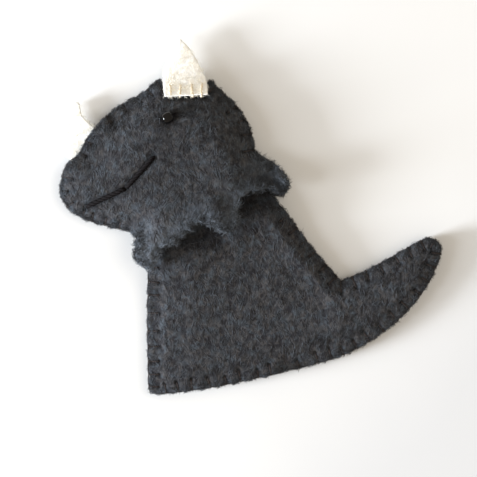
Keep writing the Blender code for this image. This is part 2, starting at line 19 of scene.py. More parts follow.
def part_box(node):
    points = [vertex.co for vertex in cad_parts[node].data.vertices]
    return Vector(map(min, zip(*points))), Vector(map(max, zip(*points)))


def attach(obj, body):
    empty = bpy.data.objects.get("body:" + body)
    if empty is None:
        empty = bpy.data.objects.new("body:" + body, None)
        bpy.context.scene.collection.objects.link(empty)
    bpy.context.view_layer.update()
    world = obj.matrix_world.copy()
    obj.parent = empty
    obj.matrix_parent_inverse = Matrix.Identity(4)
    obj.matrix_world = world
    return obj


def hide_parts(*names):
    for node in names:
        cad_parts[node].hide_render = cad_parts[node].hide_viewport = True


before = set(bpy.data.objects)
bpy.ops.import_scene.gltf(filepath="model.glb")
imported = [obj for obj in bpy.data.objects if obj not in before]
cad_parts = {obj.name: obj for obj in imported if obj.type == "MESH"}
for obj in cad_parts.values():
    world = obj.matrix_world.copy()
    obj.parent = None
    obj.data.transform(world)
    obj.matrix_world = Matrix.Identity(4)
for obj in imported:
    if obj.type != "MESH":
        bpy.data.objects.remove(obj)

LOG = logging.getLogger("finger_puppet")
MM = 0.001
Array = np.ndarray
Colour = tuple[float, float, float, float]
Place = tuple[float, float]
WHITE: Colour = (1.0, 1.0, 1.0, 1.0)
DOWN = Vector((0.0, 0.0, -1.0))
# Height over the table, in metres, from which faces are looked up with rays.
RAY_HEIGHT = 0.05
# Least heights of felt and of thread over the table, in millimetres.
FELT_CLEARANCE = 0.05
THREAD_CLEARANCE = 0.06
# How much painted shade of 1, stored in the mesh's hollow attribute, darkens a colour.
PAINTED_SHADE_DARKNESS = 0.62


class Side(Enum):
    """The face of the puppet that a piece shows on."""

    FRONT = 1
    BACK = -1


def screen_colour(red: float, green: float, blue: float) -> Colour:
    """Return the linear colour of one that a screen shows with levels from 0 to 255."""
    linear = []
    for level in (red, green, blue):
        share = level / 255.0
        linear.append(share / 12.92 if share <= 0.04045 else ((share + 0.055) / 1.055) ** 2.4)
    return (linear[0], linear[1], linear[2], 1.0)


def smooth_step(value: Array) -> Array:
    """Return an even rise from 0 to 1 as value goes from 0 to 1."""
    share = np.clip(value, 0.0, 1.0)
    return share * share * (3.0 - 2.0 * share)


def bell(gap: Array, radius: float) -> Array:
    """Return a soft fall from 1 where the gap is nothing, with a radius in millimetres."""
    return np.exp(-((gap / (radius * MM)) ** 2))


def facing_share(rise: Array, side: Side, low: float, span: float) -> Array:
    """Return how much normals with these upward parts face a side, rising over a span from a low one."""
    return smooth_step((rise * side.value - low) / span)


def in_metres(place: Place) -> Place:
    """Return a pair of millimetres in metres."""
    return (place[0] * MM, place[1] * MM)


def measure_line(places: Array, start: Array, step: Array, square: float) -> tuple[Array, Array]:
    """Measure many places in plan against a straight line.

    Args:
        places: One place in plan per row.
        start: The line's start.
        step: The way from its start to its end.
        square: The square of its length.

    Returns:
        The share of the line at which it is nearest to each place, and the distances.
    """
    share = np.clip((places - start) @ step / square, 0.0, 1.0)
    return share, np.linalg.norm(places - start - share[:, None] * step, axis=1)


class Slot(Enum):
    """The record's material slots."""

    GREY_FELT = "grey_felt"
    CREAM_FELT = "cream_felt"
    DARK_THREAD = "dark_thread"
    CREAM_THREAD = "cream_thread"
    BLACK_THREAD = "black_thread"
    BLACK_GLASS = "black_glass"


class Graph:
    """Adds, sets and joins the nodes of one material or node group."""

    def __init__(self, tree: NodeTree) -> None:
        """Start on a tree."""
        self.tree = tree

    def give(self, node: Node, inputs: dict) -> None:
        """Set a node's inputs, by name or number, to values or link them to output sockets."""
        for key, value in inputs.items():
            if isinstance(value, NodeSocket):
                self.tree.links.new(value, node.inputs[key])
            else:
                node.inputs[key].default_value = value

    def add(self, kind: str, inputs: Optional[dict] = None, **settings: object) -> Node:
        """Add a node.

        Args:
            kind: The node's Blender type.
            inputs: Values or output sockets, by the name or number of the input they go to.
            **settings: The node's own properties.

        Returns:
            The new node.
        """
        node = self.tree.nodes.new(kind)
        for key, value in settings.items():
            setattr(node, key, value)
        self.give(node, inputs or {})
        return node

    def math(self, operation: str, first: object, second: object = 0.0) -> NodeSocket:
        """Return the result of a Math node."""
        return self.add("ShaderNodeMath", {0: first, 1: second}, operation=operation).outputs[0]

    def vector(self, operation: str, first: object, second: object) -> NodeSocket:
        """Return the result of a Vector Math node."""
        return self.add("ShaderNodeVectorMath", {0: first, 1: second}, operation=operation).outputs[0]

    def rise(self, value: object, low: object, high: object, top: object = 1.0) -> NodeSocket:
        """Return value mapped smoothly from low..high to 0..top."""
        inputs = {"Value": value, "From Min": low, "From Max": high, "To Max": top}
        return self.add("ShaderNodeMapRange", inputs, interpolation_type="SMOOTHSTEP").outputs[0]

    def mix(self, share: object, first: object, second: object, blend: str = "MIX") -> NodeSocket:
        """Return two colours mixed by share."""
        inputs = {0: share, 6: first, 7: second}
        return self.add("ShaderNodeMix", inputs, data_type="RGBA", blend_type=blend).outputs[2]

    def noise(self, place: object, scale: float, detail: float = 2.0) -> NodeSocket:
        """Return the factor of a Noise Texture."""
        inputs = {"Vector": place, "Scale": scale, "Detail": detail}
        return self.add("ShaderNodeTexNoise", inputs).outputs[0]

    def seeded_noise(self, place: object, seed: object, scale: float, detail: float) -> Node:
        """Return a Noise Texture whose pattern changes with a seed."""
        inputs = {"Vector": place, "W": seed, "Scale": scale, "Detail": detail}
        return self.add("ShaderNodeTexNoise", inputs, noise_dimensions="4D")

    def scaled(self, value: object, share: float, base: float) -> NodeSocket:
        """Return value times share plus base."""
        return self.math("ADD", self.math("MULTIPLY", value, share), base)

    def bump(self, height: object, strength: float, distance: float) -> NodeSocket:
        """Return the normal of a bumped surface, with the bumps' height in millimetres."""
        inputs = {"Height": height, "Strength": strength, "Distance": distance * MM}
        return self.add("ShaderNodeBump", inputs).outputs[0]

    def attribute(self, name: str) -> NodeSocket:
        """Return a number that the mesh stores for each vertex."""
        return self.add("ShaderNodeAttribute", attribute_name=name).outputs["Fac"]

    def millimetres(self) -> NodeSocket:
        """Return the place on the object in millimetres."""
        place = self.add("ShaderNodeTexCoord").outputs["Object"]
        inputs = {"Vector": place, "Scale": (1000.0, 1000.0, 1000.0)}
        return self.add("ShaderNodeMapping", inputs).outputs[0]


def new_group(name: str, inputs: dict[str, object], output: str) -> tuple[Graph, Node]:
    """Start a shader node group.

    Args:
        name: The group's name.
        inputs: Default value of each input, by its name; a place in space is a tuple.
        output: Name of the one output, a number.

    Returns:
        The graph of the group and its input node.
    """
    tree = bpy.data.node_groups.new(name, "ShaderNodeTree")
    for key, value in inputs.items():
        kind = "NodeSocketVector" if isinstance(value, tuple) else "NodeSocketFloat"
        socket = tree.interface.new_socket(key, in_out="INPUT", socket_type=kind)
        if kind == "NodeSocketFloat":
            socket.default_value = value
    tree.interface.new_socket(output, in_out="OUTPUT", socket_type="NodeSocketFloat")
    graph = Graph(tree)
    return graph, graph.add("NodeGroupInput")


def wool_layer_group() -> NodeTree:
    """Build the group that draws one layer of curly wool fibres as thin broken lines."""
    inputs = {"Vector": (0.0, 0.0, 0.0), "Angle": 0.0, "Length": 2.4, "Width": 0.4, "Curl": 0.8,
              "Seed": 0.0, "Thinness": 0.06, "Gaps": 0.5}
    graph, given = new_group("Wool layer", inputs, "Mask")
    place, angle, length, width, curl, seed, thinness, gaps = (given.outputs[key] for key in inputs)
    bend = graph.seeded_noise(place, seed, 0.55, 1.0).outputs[1]
    bend = graph.vector("SUBTRACT", bend, (0.5, 0.5, 0.5))
    bend = graph.add("ShaderNodeVectorMath", {0: bend, "Scale": curl}, operation="SCALE").outputs[0]
    bent = graph.vector("ADD", place, bend)
    turned = graph.add("ShaderNodeVectorRotate", {"Vector": bent, "Angle": angle},
                       rotation_type="Z_AXIS").outputs[0]
    grain = graph.add("ShaderNodeCombineXYZ", {0: length, 1: width, 2: width}).outputs[0]
    stretched = graph.vector("DIVIDE", turned, grain)
    lines = graph.seeded_noise(stretched, seed, 1.0, 1.0).outputs[0]
    off_line = graph.math("ABSOLUTE", graph.math("SUBTRACT", lines, 0.5))
    on_line = graph.math("SUBTRACT", 1.0, graph.rise(off_line, 0.0, thinness))
    breaks = graph.seeded_noise(bent, seed, 0.8, 0.0).outputs[0]
    kept = graph.rise(breaks, gaps, graph.math("ADD", gaps, 0.12))
    graph.add("NodeGroupOutput", {0: graph.math("MULTIPLY", on_line, kept)})
    return graph.tree


def new_material(name: str) -> tuple[Material, Graph, Node]:
    """Start a material; return it with its graph and its Principled node."""
    material = bpy.data.materials.new(name)
    material.use_nodes = True
    return material, Graph(material.node_tree), material.node_tree.nodes["Principled BSDF"]


def with_painted_shade(graph: Graph, colour: object, level: object = 1.0) -> NodeSocket:
    """Return a colour with the painted shade of the mesh's hollow attribute, painted light where that is
    negative, multiplied by a level.
    """
    shade = graph.math("SUBTRACT", 1.0, graph.math("MULTIPLY", graph.attribute("hollow"), PAINTED_SHADE_DARKNESS))
    shade = graph.math("MULTIPLY", shade, level)
    grey = graph.add("ShaderNodeCombineColor", {0: shade, 1: shade, 2: shade}).outputs[0]
    return graph.mix(1.0, colour, grey, "MULTIPLY")


@dataclass(frozen=True)
class WoolLayer:
    """One direction of the fibres that show on felt.

    Angles are in degrees, and lengths and widths in millimetres.
    """

    angle: float
    length: float
    width: float
    curl: float
    thinness: float
    gaps: float
    strength: float
    seed: float

    def mask(self, graph: Graph, wool: NodeTree, place: object) -> NodeSocket:
        """Return the layer's mask, 1 on a fibre, drawn by the wool group at a place in millimetres."""
        inputs = {"Vector": place, "Angle": math.radians(self.angle), "Length": self.length,
                  "Width": self.width, "Curl": self.curl, "Seed": self.seed,
                  "Thinness": self.thinness, "Gaps": self.gaps}
        return graph.add("ShaderNodeGroup", inputs, node_tree=wool).outputs[0]


@dataclass(frozen=True)
class HeatherFelt:
    """Matt wool felt: a mottled ground under pale, cool, warm and dark fibres, with painted shade in hollows
    and pale fuzz with painted light on edges.
    """

    name: str
    shadow: Colour
    ground: Colour
    pale: Colour
    cool: Colour
    warm: Colour
    pale_fuzz_and_lit_colour: Colour
    pale_layers: tuple[WoolLayer, ...]
    dark_layers: tuple[WoolLayer, ...]
    sheen: float = 0.12
    tint: float = 0.10
    pale_fuzz_and_light_share: float = 0.45
    cloudiness: float = 0.22
    relief: float = 0.75

    def material(self, wool: NodeTree) -> Material:
        """Return the felt's material.

        Args:
            wool: The node group that draws a layer of fibres.

        Returns:
            The finished material.
        """
        material, graph, principled = new_material(self.name)
        place = graph.millimetres()
        clouds = graph.rise(graph.noise(place, 0.16), 0.32, 0.68)
        clumps = graph.rise(graph.noise(place, 0.6, 2.5), 0.36, 0.64)
        colour = graph.mix(clumps, self.shadow, self.ground)
        hue = graph.noise(place, 0.55, 1.0)
        colour = graph.mix(graph.rise(hue, 0.62, 0.42, self.tint), colour, self.warm)
        colour = graph.mix(graph.rise(hue, 0.50, 0.68, self.tint), colour, self.cool)
        pale = graph.mix(graph.rise(hue, 0.42, 0.52), self.warm, self.pale)
        pale = graph.mix(graph.rise(hue, 0.52, 0.60), pale, self.cool)
        height = graph.math("MULTIPLY", clumps, 0.5)
        for layer in self.dark_layers:
            mask = layer.mask(graph, wool, place)
            colour = graph.mix(graph.math("MULTIPLY", mask, layer.strength), colour, self.shadow)
        for layer in self.pale_layers:
            mask = layer.mask(graph, wool, place)
            colour = graph.mix(graph.math("MULTIPLY", mask, layer.strength), colour, pale)
            height = graph.math("MAXIMUM", height, mask)
        # Paler fuzz with painted light on the free edges and the rims.
        pale_fuzz_and_light = graph.math("MULTIPLY", graph.attribute("pale_fuzz_and_light"), self.pale_fuzz_and_light_share)
        colour = graph.mix(pale_fuzz_and_light, colour, self.pale_fuzz_and_lit_colour)
        level = graph.scaled(clouds, self.cloudiness, 1.0 - 0.5 * self.cloudiness)
        graph.give(principled, {
            "Base Color": with_painted_shade(graph, colour, level),
            "Normal": graph.bump(height, self.relief, 0.12),
            "Roughness": graph.scaled(clumps, 0.1, 0.85),
            "Specular IOR Level": 0.15,
            "Sheen Weight": self.sheen,
            "Sheen Roughness": 0.55,
            "Sheen Tint": self.pale,
        })
        return material


@dataclass(frozen=True)
class FibreWool:
    """Loose single fibres: each takes its tone from where it lies."""

    name: str
    tones: tuple[Colour, Colour, Colour]
    sheen: float = 0.1

    def material(self) -> Material:
        """Return the fibres' material."""
        material, graph, principled = new_material(self.name)
        place = graph.millimetres()
        low, middle, high = self.tones
        pick = graph.noise(place, 0.5, 1.0)
        colour = graph.mix(graph.rise(pick, 0.36, 0.48), low, middle)
        colour = graph.mix(graph.rise(pick, 0.50, 0.64), colour, high)
        grain = graph.rise(graph.noise(place, 9.0, 1.0), 0.3, 0.7)
        colour = graph.mix(graph.math("MULTIPLY", grain, 0.15), colour, middle)
        graph.give(principled, {
            "Base Color": with_painted_shade(graph, colour),
            "Roughness": graph.scaled(grain, 0.15, 0.7),
            "Specular IOR Level": 0.2,
            "Sheen Weight": self.sheen,
        })
        return material


@dataclass(frozen=True)
class SewingThread:
    """Spun thread: fine filaments along the twist, a little shine, darker between the strands."""

    name: str
    deep: Colour
    face: Colour
    roughness: float = 0.62
    sheen: float = 0.15

    def material(self) -> Material:
        """Return the thread's material."""
        material, graph, principled = new_material(self.name)
        place = graph.millimetres()
        slubs = graph.rise(graph.noise(place, 0.9, 2.0), 0.35, 0.7)
        filaments = graph.rise(graph.noise(place, 11.0, 2.0), 0.3, 0.7)
        colour = graph.mix(graph.math("MULTIPLY", filaments, 0.7), self.deep, self.face)
        colour = graph.mix(graph.math("MULTIPLY", slubs, 0.35), colour, self.face)
        graph.give(principled, {
            "Base Color": colour,
            "Normal": graph.bump(filaments, 0.6, 0.04),
            "Roughness": graph.scaled(filaments, 0.15, self.roughness),
            "Specular IOR Level": 0.25,
            "Sheen Weight": self.sheen,
        })
        return material


@dataclass(frozen=True)
class BeadGlass:
    """Opaque black seed-bead glass, fire polished, with faint dimples."""

    name: str = "bead_glass"
    colour: Colour = (0.003, 0.0025, 0.0025, 1.0)
    smeared: Colour = (0.007, 0.006, 0.006, 1.0)

    def material(self) -> Material:
        """Return the bead's material."""
        material, graph, principled = new_material(self.name)
        place = graph.millimetres()
        smears = graph.rise(graph.noise(place, 2.5), 0.45, 0.75)
        graph.give(principled, {
            "Base Color": graph.mix(graph.math("MULTIPLY", smears, 0.3), self.colour, self.smeared),
            "Normal": graph.bump(graph.noise(place, 1.6), 0.15, 0.06),
            "Roughness": graph.scaled(smears, 0.03, 0.02),
            "Specular IOR Level": 0.45,
        })
        return material


@dataclass(frozen=True)
class TableTop:
    """Matt white board: the camera sees it in a paler white than the light that it bounces, darker towards
    the far corner by painted falloff of light.
    """

    name: str = "table_top"
    seen: Colour = (0.885, 0.885, 0.885, 1.0)
    far_corner_painted_shade: Colour = (0.755, 0.765, 0.787, 1.0)
    bounced: Colour = (0.82, 0.815, 0.80, 1.0)
    glow: float = 0.02

    def material(self) -> Material:
        """Return the table's material."""
        material, graph, principled = new_material(self.name)
        place = graph.millimetres()
        mottle = graph.rise(graph.noise(place, 0.02, 2.0), 0.3, 0.7)
        # Painted falloff of light: the seen white darkens towards the far corner, with a faint mottle.
        corner = graph.add("ShaderNodeVectorMath", {0: place, 1: (0.72, -0.69, 0.0)}, operation="DOT_PRODUCT")
        corner = graph.rise(corner.outputs["Value"], 15.0, 80.0)
        painted_falloff = graph.math("ADD", corner, graph.math("MULTIPLY", mottle, 0.15))
        seen = graph.mix(painted_falloff, self.seen, self.far_corner_painted_shade)
        path = graph.add("ShaderNodeLightPath")
        direct = graph.math("MAXIMUM", path.outputs["Is Camera Ray"], path.outputs["Is Glossy Ray"])
        direct = graph.math("MAXIMUM", direct, path.outputs["Is Transmission Ray"])
        graph.give(principled, {
            "Base Color": graph.mix(direct, self.bounced, seen),
            "Emission Strength": graph.math("MULTIPLY", direct, self.glow),
            "Emission Color": WHITE,
            "Roughness": 0.95,
            "Specular IOR Level": 0.0,
        })
        return material


def solid_of(node: str, weld: bool = True) -> BMesh:
    """Return a copy of a CAD node's solid, welded where its faces meet or as it is."""
    shape = bmesh.new()
    shape.from_mesh(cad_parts[node].data)
    if weld:
        bmesh.ops.remove_doubles(shape, verts=shape.verts, dist=1e-6)
    return shape


class Rim:
    """A ply's outline in plan, anticlockwise, with the distance along it at each point."""

    # A side wall's normal rises less than this, and an upper face's more.
    SLOPE = 0.3

    def __init__(self, points: Array) -> None:
        """Keep the loop and measure it.

        Args:
            points: The loop's points in plan and their heights, one row each, not repeated.
        """
        ring = np.vstack([points, points[:1]])
        if float(np.sum(ring[:-1, 0] * ring[1:, 1] - ring[1:, 0] * ring[:-1, 1])) < 0.0:
            ring = ring[::-1]
        self.ring = ring
        self.steps = np.diff(ring[:, :2], axis=0)
        self.spans = np.maximum(np.linalg.norm(self.steps, axis=1), 1e-9)
        self.marks = np.concatenate([[0.0], np.cumsum(self.spans)])
        self.total = float(self.marks[-1])

    @classmethod
    def of_node(cls, node: str) -> "Rim":
        """Return the rim of the front face of a flat ply's CAD node."""
        shape = solid_of(node)
        shape.normal_update()
        after: dict[int, list[int]] = {}
        for edge in shape.edges:
            if len(edge.link_faces) != 2:
                continue
            walls = [face for face in edge.link_faces if abs(face.normal.z) < cls.SLOPE]
            tops = [face for face in edge.link_faces if face.normal.z > cls.SLOPE]
            if len(walls) == 1 and len(tops) == 1:
                first, second = (vert.index for vert in edge.verts)
                after.setdefault(first, []).append(second)
                after.setdefault(second, []).append(first)
        shape.verts.ensure_lookup_table()
        start = next(iter(after))
        loop = [start]
        previous, current = -1, start
        while True:
            following = [index for index in after[current] if index != previous]
            previous, current = current, following[0]
            if current == start:
                break
            loop.append(current)
        points = np.array([shape.verts[index].co[:] for index in loop])
        shape.free()
        return cls(points)

    def nearest(self, places: Array) -> tuple[Array, Array, Array]:
        """Find the rim's nearest place to each of many places in plan.

        Args:
            places: One place in plan per row.

        Returns:
            The distances, the distances along the rim, and the outward directions there.
        """
        best = np.full(len(places), np.inf)
        along = np.zeros(len(places))
        outward = np.zeros((len(places), 2))
        for index, step in enumerate(self.steps):
            span = self.spans[index]
            share, gap = measure_line(places, self.ring[index, :2], step, span ** 2)
            closer = gap < best
            best[closer] = gap[closer]
            along[closer] = self.marks[index] + share[closer] * span
            outward[closer] = (step[1] / span, -step[0] / span)
        return best, along, outward

    def project(self, place: Place) -> float:
        """Return the distance along the rim of the place nearest to one in plan."""
        return float(self.nearest(np.array([place]))[1][0])

    def at(self, mark: float) -> Vector:
        """Return the rim's point at a distance along it."""
        mark = mark % self.total
        index = min(int(np.searchsorted(self.marks, mark, "right")) - 1, len(self.steps) - 1)
        share = (mark - self.marks[index]) / self.spans[index]
        return Vector(self.ring[index]).lerp(Vector(self.ring[index + 1]), float(share))

    def outward(self, mark: float, reach: float = 0.9 * MM) -> Vector:
        """Return the outward direction in plan, smoothed over a short reach."""
        along = self.at(mark + reach) - self.at(mark - reach)
        return Vector((along.y, -along.x)).normalized()

    def gap_to_span(self, places: Array, first: float, last: float) -> Array:
        """Return the distances in plan from many places to the rim between two marks."""
        marks = np.arange(first, last, 0.6 * MM)
        best = np.full(len(places), np.inf)
        for mark in marks:
            point = np.array(self.at(float(mark)).to_2d())
            best = np.minimum(best, np.linalg.norm(places - point, axis=1))
        return best

    def span(self, start: Place, end: Place) -> tuple[float, float]:
        """Return the distances along the rim of a run that goes anticlockwise from start to end."""
        first = self.project(start)
        last = self.project(end)
        return (first, last) if last > first else (first, last + self.total)


@dataclass(frozen=True)
class Stitch:
    """One blanket stitch: where it crosses the edge and where it goes into the felt."""

    mark: float
    root: Vector
    hole: Vector


@dataclass
class StitchRun:
    """A row of blanket stitches along part of a rim, with sizes and places in millimetres."""

    start: Place
    end: Place
    pitch: float
    seed: int
    holes: tuple[Place, ...]
    depth: float = 2.5
    depth_spread: tuple[float, float] = (0.88, 1.12)
    leg_limits: tuple[float, float] = (0.8, 1.15)
    pitch_error: float = 0.25
    slant: float = 0.35
    stitches: list[Stitch] = field(default_factory=list)
    first: float = 0.0
    last: float = 0.0

    def lay_out(self, rim: Rim) -> None:
        """Set the stitches: at the holes that are given, and evenly between them.

        Args:
            rim: The rim that the row follows.
        """
        self.first, self.last = rim.span(in_metres(self.start), in_metres(self.end))
        pitch = self.pitch * MM
        deep = self.depth * MM
        random = np.random.default_rng(self.seed)
        marks: dict[float, Optional[Place]] = {}
        for place in map(in_metres, self.holes):
            mark = rim.project(place)
            if mark < self.first:
                mark += rim.total
            if self.first <= mark <= self.last:
                marks[mark] = place
        known = [self.first - 0.5 * pitch] + sorted(marks) + [self.last + 0.5 * pitch]
        for before, after in zip(known, known[1:]):
            count = round((after - before) / pitch)
            for index in range(1, count):
                jitter = random.uniform(-self.pitch_error, self.pitch_error) * MM
                marks[before + (after - before) * index / count + jitter] = None
        for mark in sorted(marks):
            root = rim.at(mark)
            inward = -rim.outward(mark)
            across = Vector((-inward.y, inward.x))
            depth = deep * random.uniform(*self.depth_spread)
            slant = random.uniform(-self.slant, self.slant) * MM
            hole = root.to_2d() + inward * depth + across * slant
            given = marks[mark]
            if given is not None:
                leg = Vector(given) - root.to_2d()
                shortest, longest = self.leg_limits
                length = min(max(leg.length, shortest * deep), longest * deep)
                hole = root.to_2d() + leg.normalized() * length
            self.stitches.append(Stitch(mark, root, hole))


@dataclass(frozen=True)
class Fold:
    """A soft ridge or hollow along a line in plan, in millimetres.

    A hollow's height is negative. The shade is painted shade that darkens the wool there, and a negative one
    is painted light that lightens it.
    """

    start: Place
    end: Place
    radius: float
    height: float
    shade: float = 0.0

    def share(self, places: Array) -> Array:
        """Return how strongly the fold acts at each of many places in plan, up to 1 along its line."""
        start = np.array(self.start) * MM
        step = np.array(self.end) * MM - start
        gap = measure_line(places, start, step, max(float(step @ step), 1e-12))[1]
        return bell(gap, self.radius)

    def lift(self, places: Array) -> Array:
        """Return how far the fold lifts each of many places in plan."""
        return self.height * MM * self.share(places)


@dataclass(frozen=True)
class Nudge:
    """A soft sideways shift of a free edge about a place in plan, in millimetres."""

    place: Place
    radius: float
    shift: Place

    def move(self, plan: Array) -> Array:
        """Return the shift of each of many places in plan."""
        gap = np.linalg.norm(plan - np.array(self.place) * MM, axis=1)
        return bell(gap, self.radius)[:, None] * np.array(self.shift) * MM


def field_of(places: Array, wavelength: float, offset: float) -> Array:
    """Return smooth noise from about -1 to 1 at many places, with a wavelength in millimetres."""
    scaled = places / (wavelength * MM) + offset
    return np.array([noise.noise(Vector(place)) for place in scaled])


def finished_mesh(piece: Object) -> Mesh:
    """Return a piece's mesh with its modifiers applied."""
    graph = bpy.context.evaluated_depsgraph_get()
    return bpy.data.meshes.new_from_object(piece.evaluated_get(graph))


def height_over(node: str, plan: Array) -> Array:
    """Return the height of a CAD node's upper face at many places in plan, or the nearest height off it."""
    shape = solid_of(node, weld=False)
    tree = BVHTree.FromBMesh(shape)
    shape.free()
    heights = np.zeros(len(plan))
    for index, place in enumerate(plan):
        above = Vector((place[0], place[1], RAY_HEIGHT))
        hit = tree.ray_cast(above, DOWN)[0] or tree.find_nearest(above)[0]
        heights[index] = hit.z
    return heights


class Settle(ABC):
    """How a ply has settled: it may lie lower and flatter than its solid, which holds room for a finger."""

    @abstractmethod
    def change(self, plan: Array, rim: Rim) -> Array:
        """Return the change of height at many places in plan."""


@dataclass(frozen=True)
class SleeveSettle(Settle):
    """The sleeve's front: it rises at once beside the left seam and falls away evenly to the right.

    Lengths are in millimetres.
    """

    layer: float = 1.5
    hem_room: float = 2.0
    frill_room: float = 3.4
    neck_room: float = 1.9
    hem_y: float = -43.0
    frill_y: float = -8.0
    neck_y: float = 4.0
    left_x: float = -25.3
    rise: float = 11.0
    fall: float = 70.0
    seam_margin: float = 0.3
    seam_ease: float = 4.4

    def change(self, plan: Array, rim: Rim) -> Array:
        """Return the change of height at many places in plan."""
        pocket = height_over("body_front", plan) - height_over("body_back", plan) - self.layer * MM
        pocket = np.maximum(pocket, 0.0)
        ys = (self.hem_y, self.frill_y, self.neck_y)
        room = np.interp(plan[:, 1] / MM, ys, (self.hem_room, self.frill_room, self.neck_room))
        across = plan[:, 0] / MM - self.left_x - self.seam_margin
        rise = 1.0 - (1.0 - np.clip(across / self.rise, 0.0, 1.0)) ** 2
        fall = np.clip(1.0 - (across - self.rise) / self.fall, 0.0, 1.0)
        sewn = np.minimum(
            rim.gap_to_span(plan, LEFT_SEAM.first, LEFT_SEAM.last),
            rim.gap_to_span(plan, TAIL_SEAM.first, TAIL_SEAM.last),
        )
        ease = smooth_step((sewn / MM - self.seam_margin) / self.seam_ease)
        return room * MM * rise * fall * ease - pocket


@dataclass(frozen=True)
class HeadSettle(Settle):
    """The head's front: a low pillow, steep beside the seam and nearly flat inside it.

    Lengths are in millimetres.
    """

    margin_top: float = 3.4
    snout_x: float = -47.25
    neck_x: float = -21.25
    old_rise: tuple[float, float] = (2.8, 7.8)
    new_rise: tuple[float, float] = (2.7, 5.5)
    steepness: float = 1.9
    flare_kept: float = 0.6

    def change(self, plan: Array, rim: Rim) -> Array:
        """Return the change of height at many places in plan."""
        lift = np.maximum(height_over("head_front", plan) - self.margin_top * MM, 0.0) / MM
        share = smooth_step((plan[:, 0] / MM - self.snout_x) / (self.neck_x - self.snout_x))
        old = self.old_rise[0] + (self.old_rise[1] - self.old_rise[0]) * share
        new = self.new_rise[0] + (self.new_rise[1] - self.new_rise[0]) * share
        filled = np.clip(lift / old, 0.0, 1.0)
        settled = new * (1.0 - (1.0 - filled) ** self.steepness)
        settled += self.flare_kept * np.maximum(lift - old, 0.0)
        return (settled - lift) * MM


def bake_modifiers(piece: Object) -> None:
    """Apply all modifiers of a piece and shade it smooth."""
    bpy.context.view_layer.update()
    mesh = finished_mesh(piece)
    piece.modifiers.clear()
    old = piece.data
    piece.data = mesh
    bpy.data.meshes.remove(old)
    mesh.shade_smooth()


def link_piece(name: str, data: bpy.types.ID) -> Object:
    """Put new data in the scene as a piece with a name."""
    piece = bpy.data.objects.new(name, data)
    bpy.context.scene.collection.objects.link(piece)
    return piece


def coordinates(mesh: Mesh) -> tuple[Array, Array]:
    """Return the places and the normals of a mesh's vertices, one row each."""
    places = np.zeros(len(mesh.vertices) * 3)
    normals = np.zeros(len(mesh.vertices) * 3)
    mesh.vertices.foreach_get("co", places)
    mesh.vertex_normals.foreach_get("vector", normals)
    return places.reshape(-1, 3), normals.reshape(-1, 3)


def write_attribute(mesh: Mesh, name: str, values: Array) -> None:
    """Store one number for each vertex of a mesh."""
    mesh.attributes.new(name, "FLOAT", "POINT").data.foreach_set("value", values)


def dress_piece(piece: Object, material: Material, node: Optional[str] = None) -> None:
    """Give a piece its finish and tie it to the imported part.

    Args:
        piece: The piece.
        material: Its material.
        node: The CAD node that it stands in for, if it does.
    """
    piece.data.materials.append(material)
    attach(piece, "root")
    if node is not None:
        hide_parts(node)


@dataclass(frozen=True)
class StitchPress:
    """How a stitch marks felt: a groove under its leg and a pit at its hole, with painted shade in both.

    Depths, radii and the reach are in millimetres, and the painted shades go up to 1.
    """

    reach: float = 3.5
    groove_depth: float = 0.15
    groove_radius: float = 0.42
    groove_shade: float = 0.4
    groove_shade_radius: float = 0.36
    pit_depth: float = 0.34
    pit_radius: float = 0.5
    pit_shade: float = 0.75
    pit_shade_radius: float = 0.55

    def marks(self, runs: Sequence[StitchRun], plan: Array) -> tuple[Array, Array]:
        """Return how deep the stitches press in at many places in plan, and their painted shade there."""
        dent = np.zeros(len(plan))
        shade = np.zeros(len(plan))
        for stitch in (stitch for run in runs for stitch in run.stitches):
            root = np.array(stitch.root.to_2d())
            hole = np.array(stitch.hole)
            step = hole - root
            near = np.linalg.norm(plan - (root + hole) / 2.0, axis=1) < self.reach * MM
            gap = measure_line(plan[near], root, step, float(step @ step))[1]
            end = np.linalg.norm(plan[near] - hole, axis=1)
            groove = self.groove_depth * MM * bell(gap, self.groove_radius)
            pit = self.pit_depth * MM * bell(end, self.pit_radius)
            dent[near] = np.maximum(dent[near], groove + pit)
            mark = self.groove_shade * bell(gap, self.groove_shade_radius)
            mark = mark + self.pit_shade * bell(end, self.pit_shade_radius)
            shade[near] = np.maximum(shade[near], np.minimum(mark, 1.0))
        return dent, shade


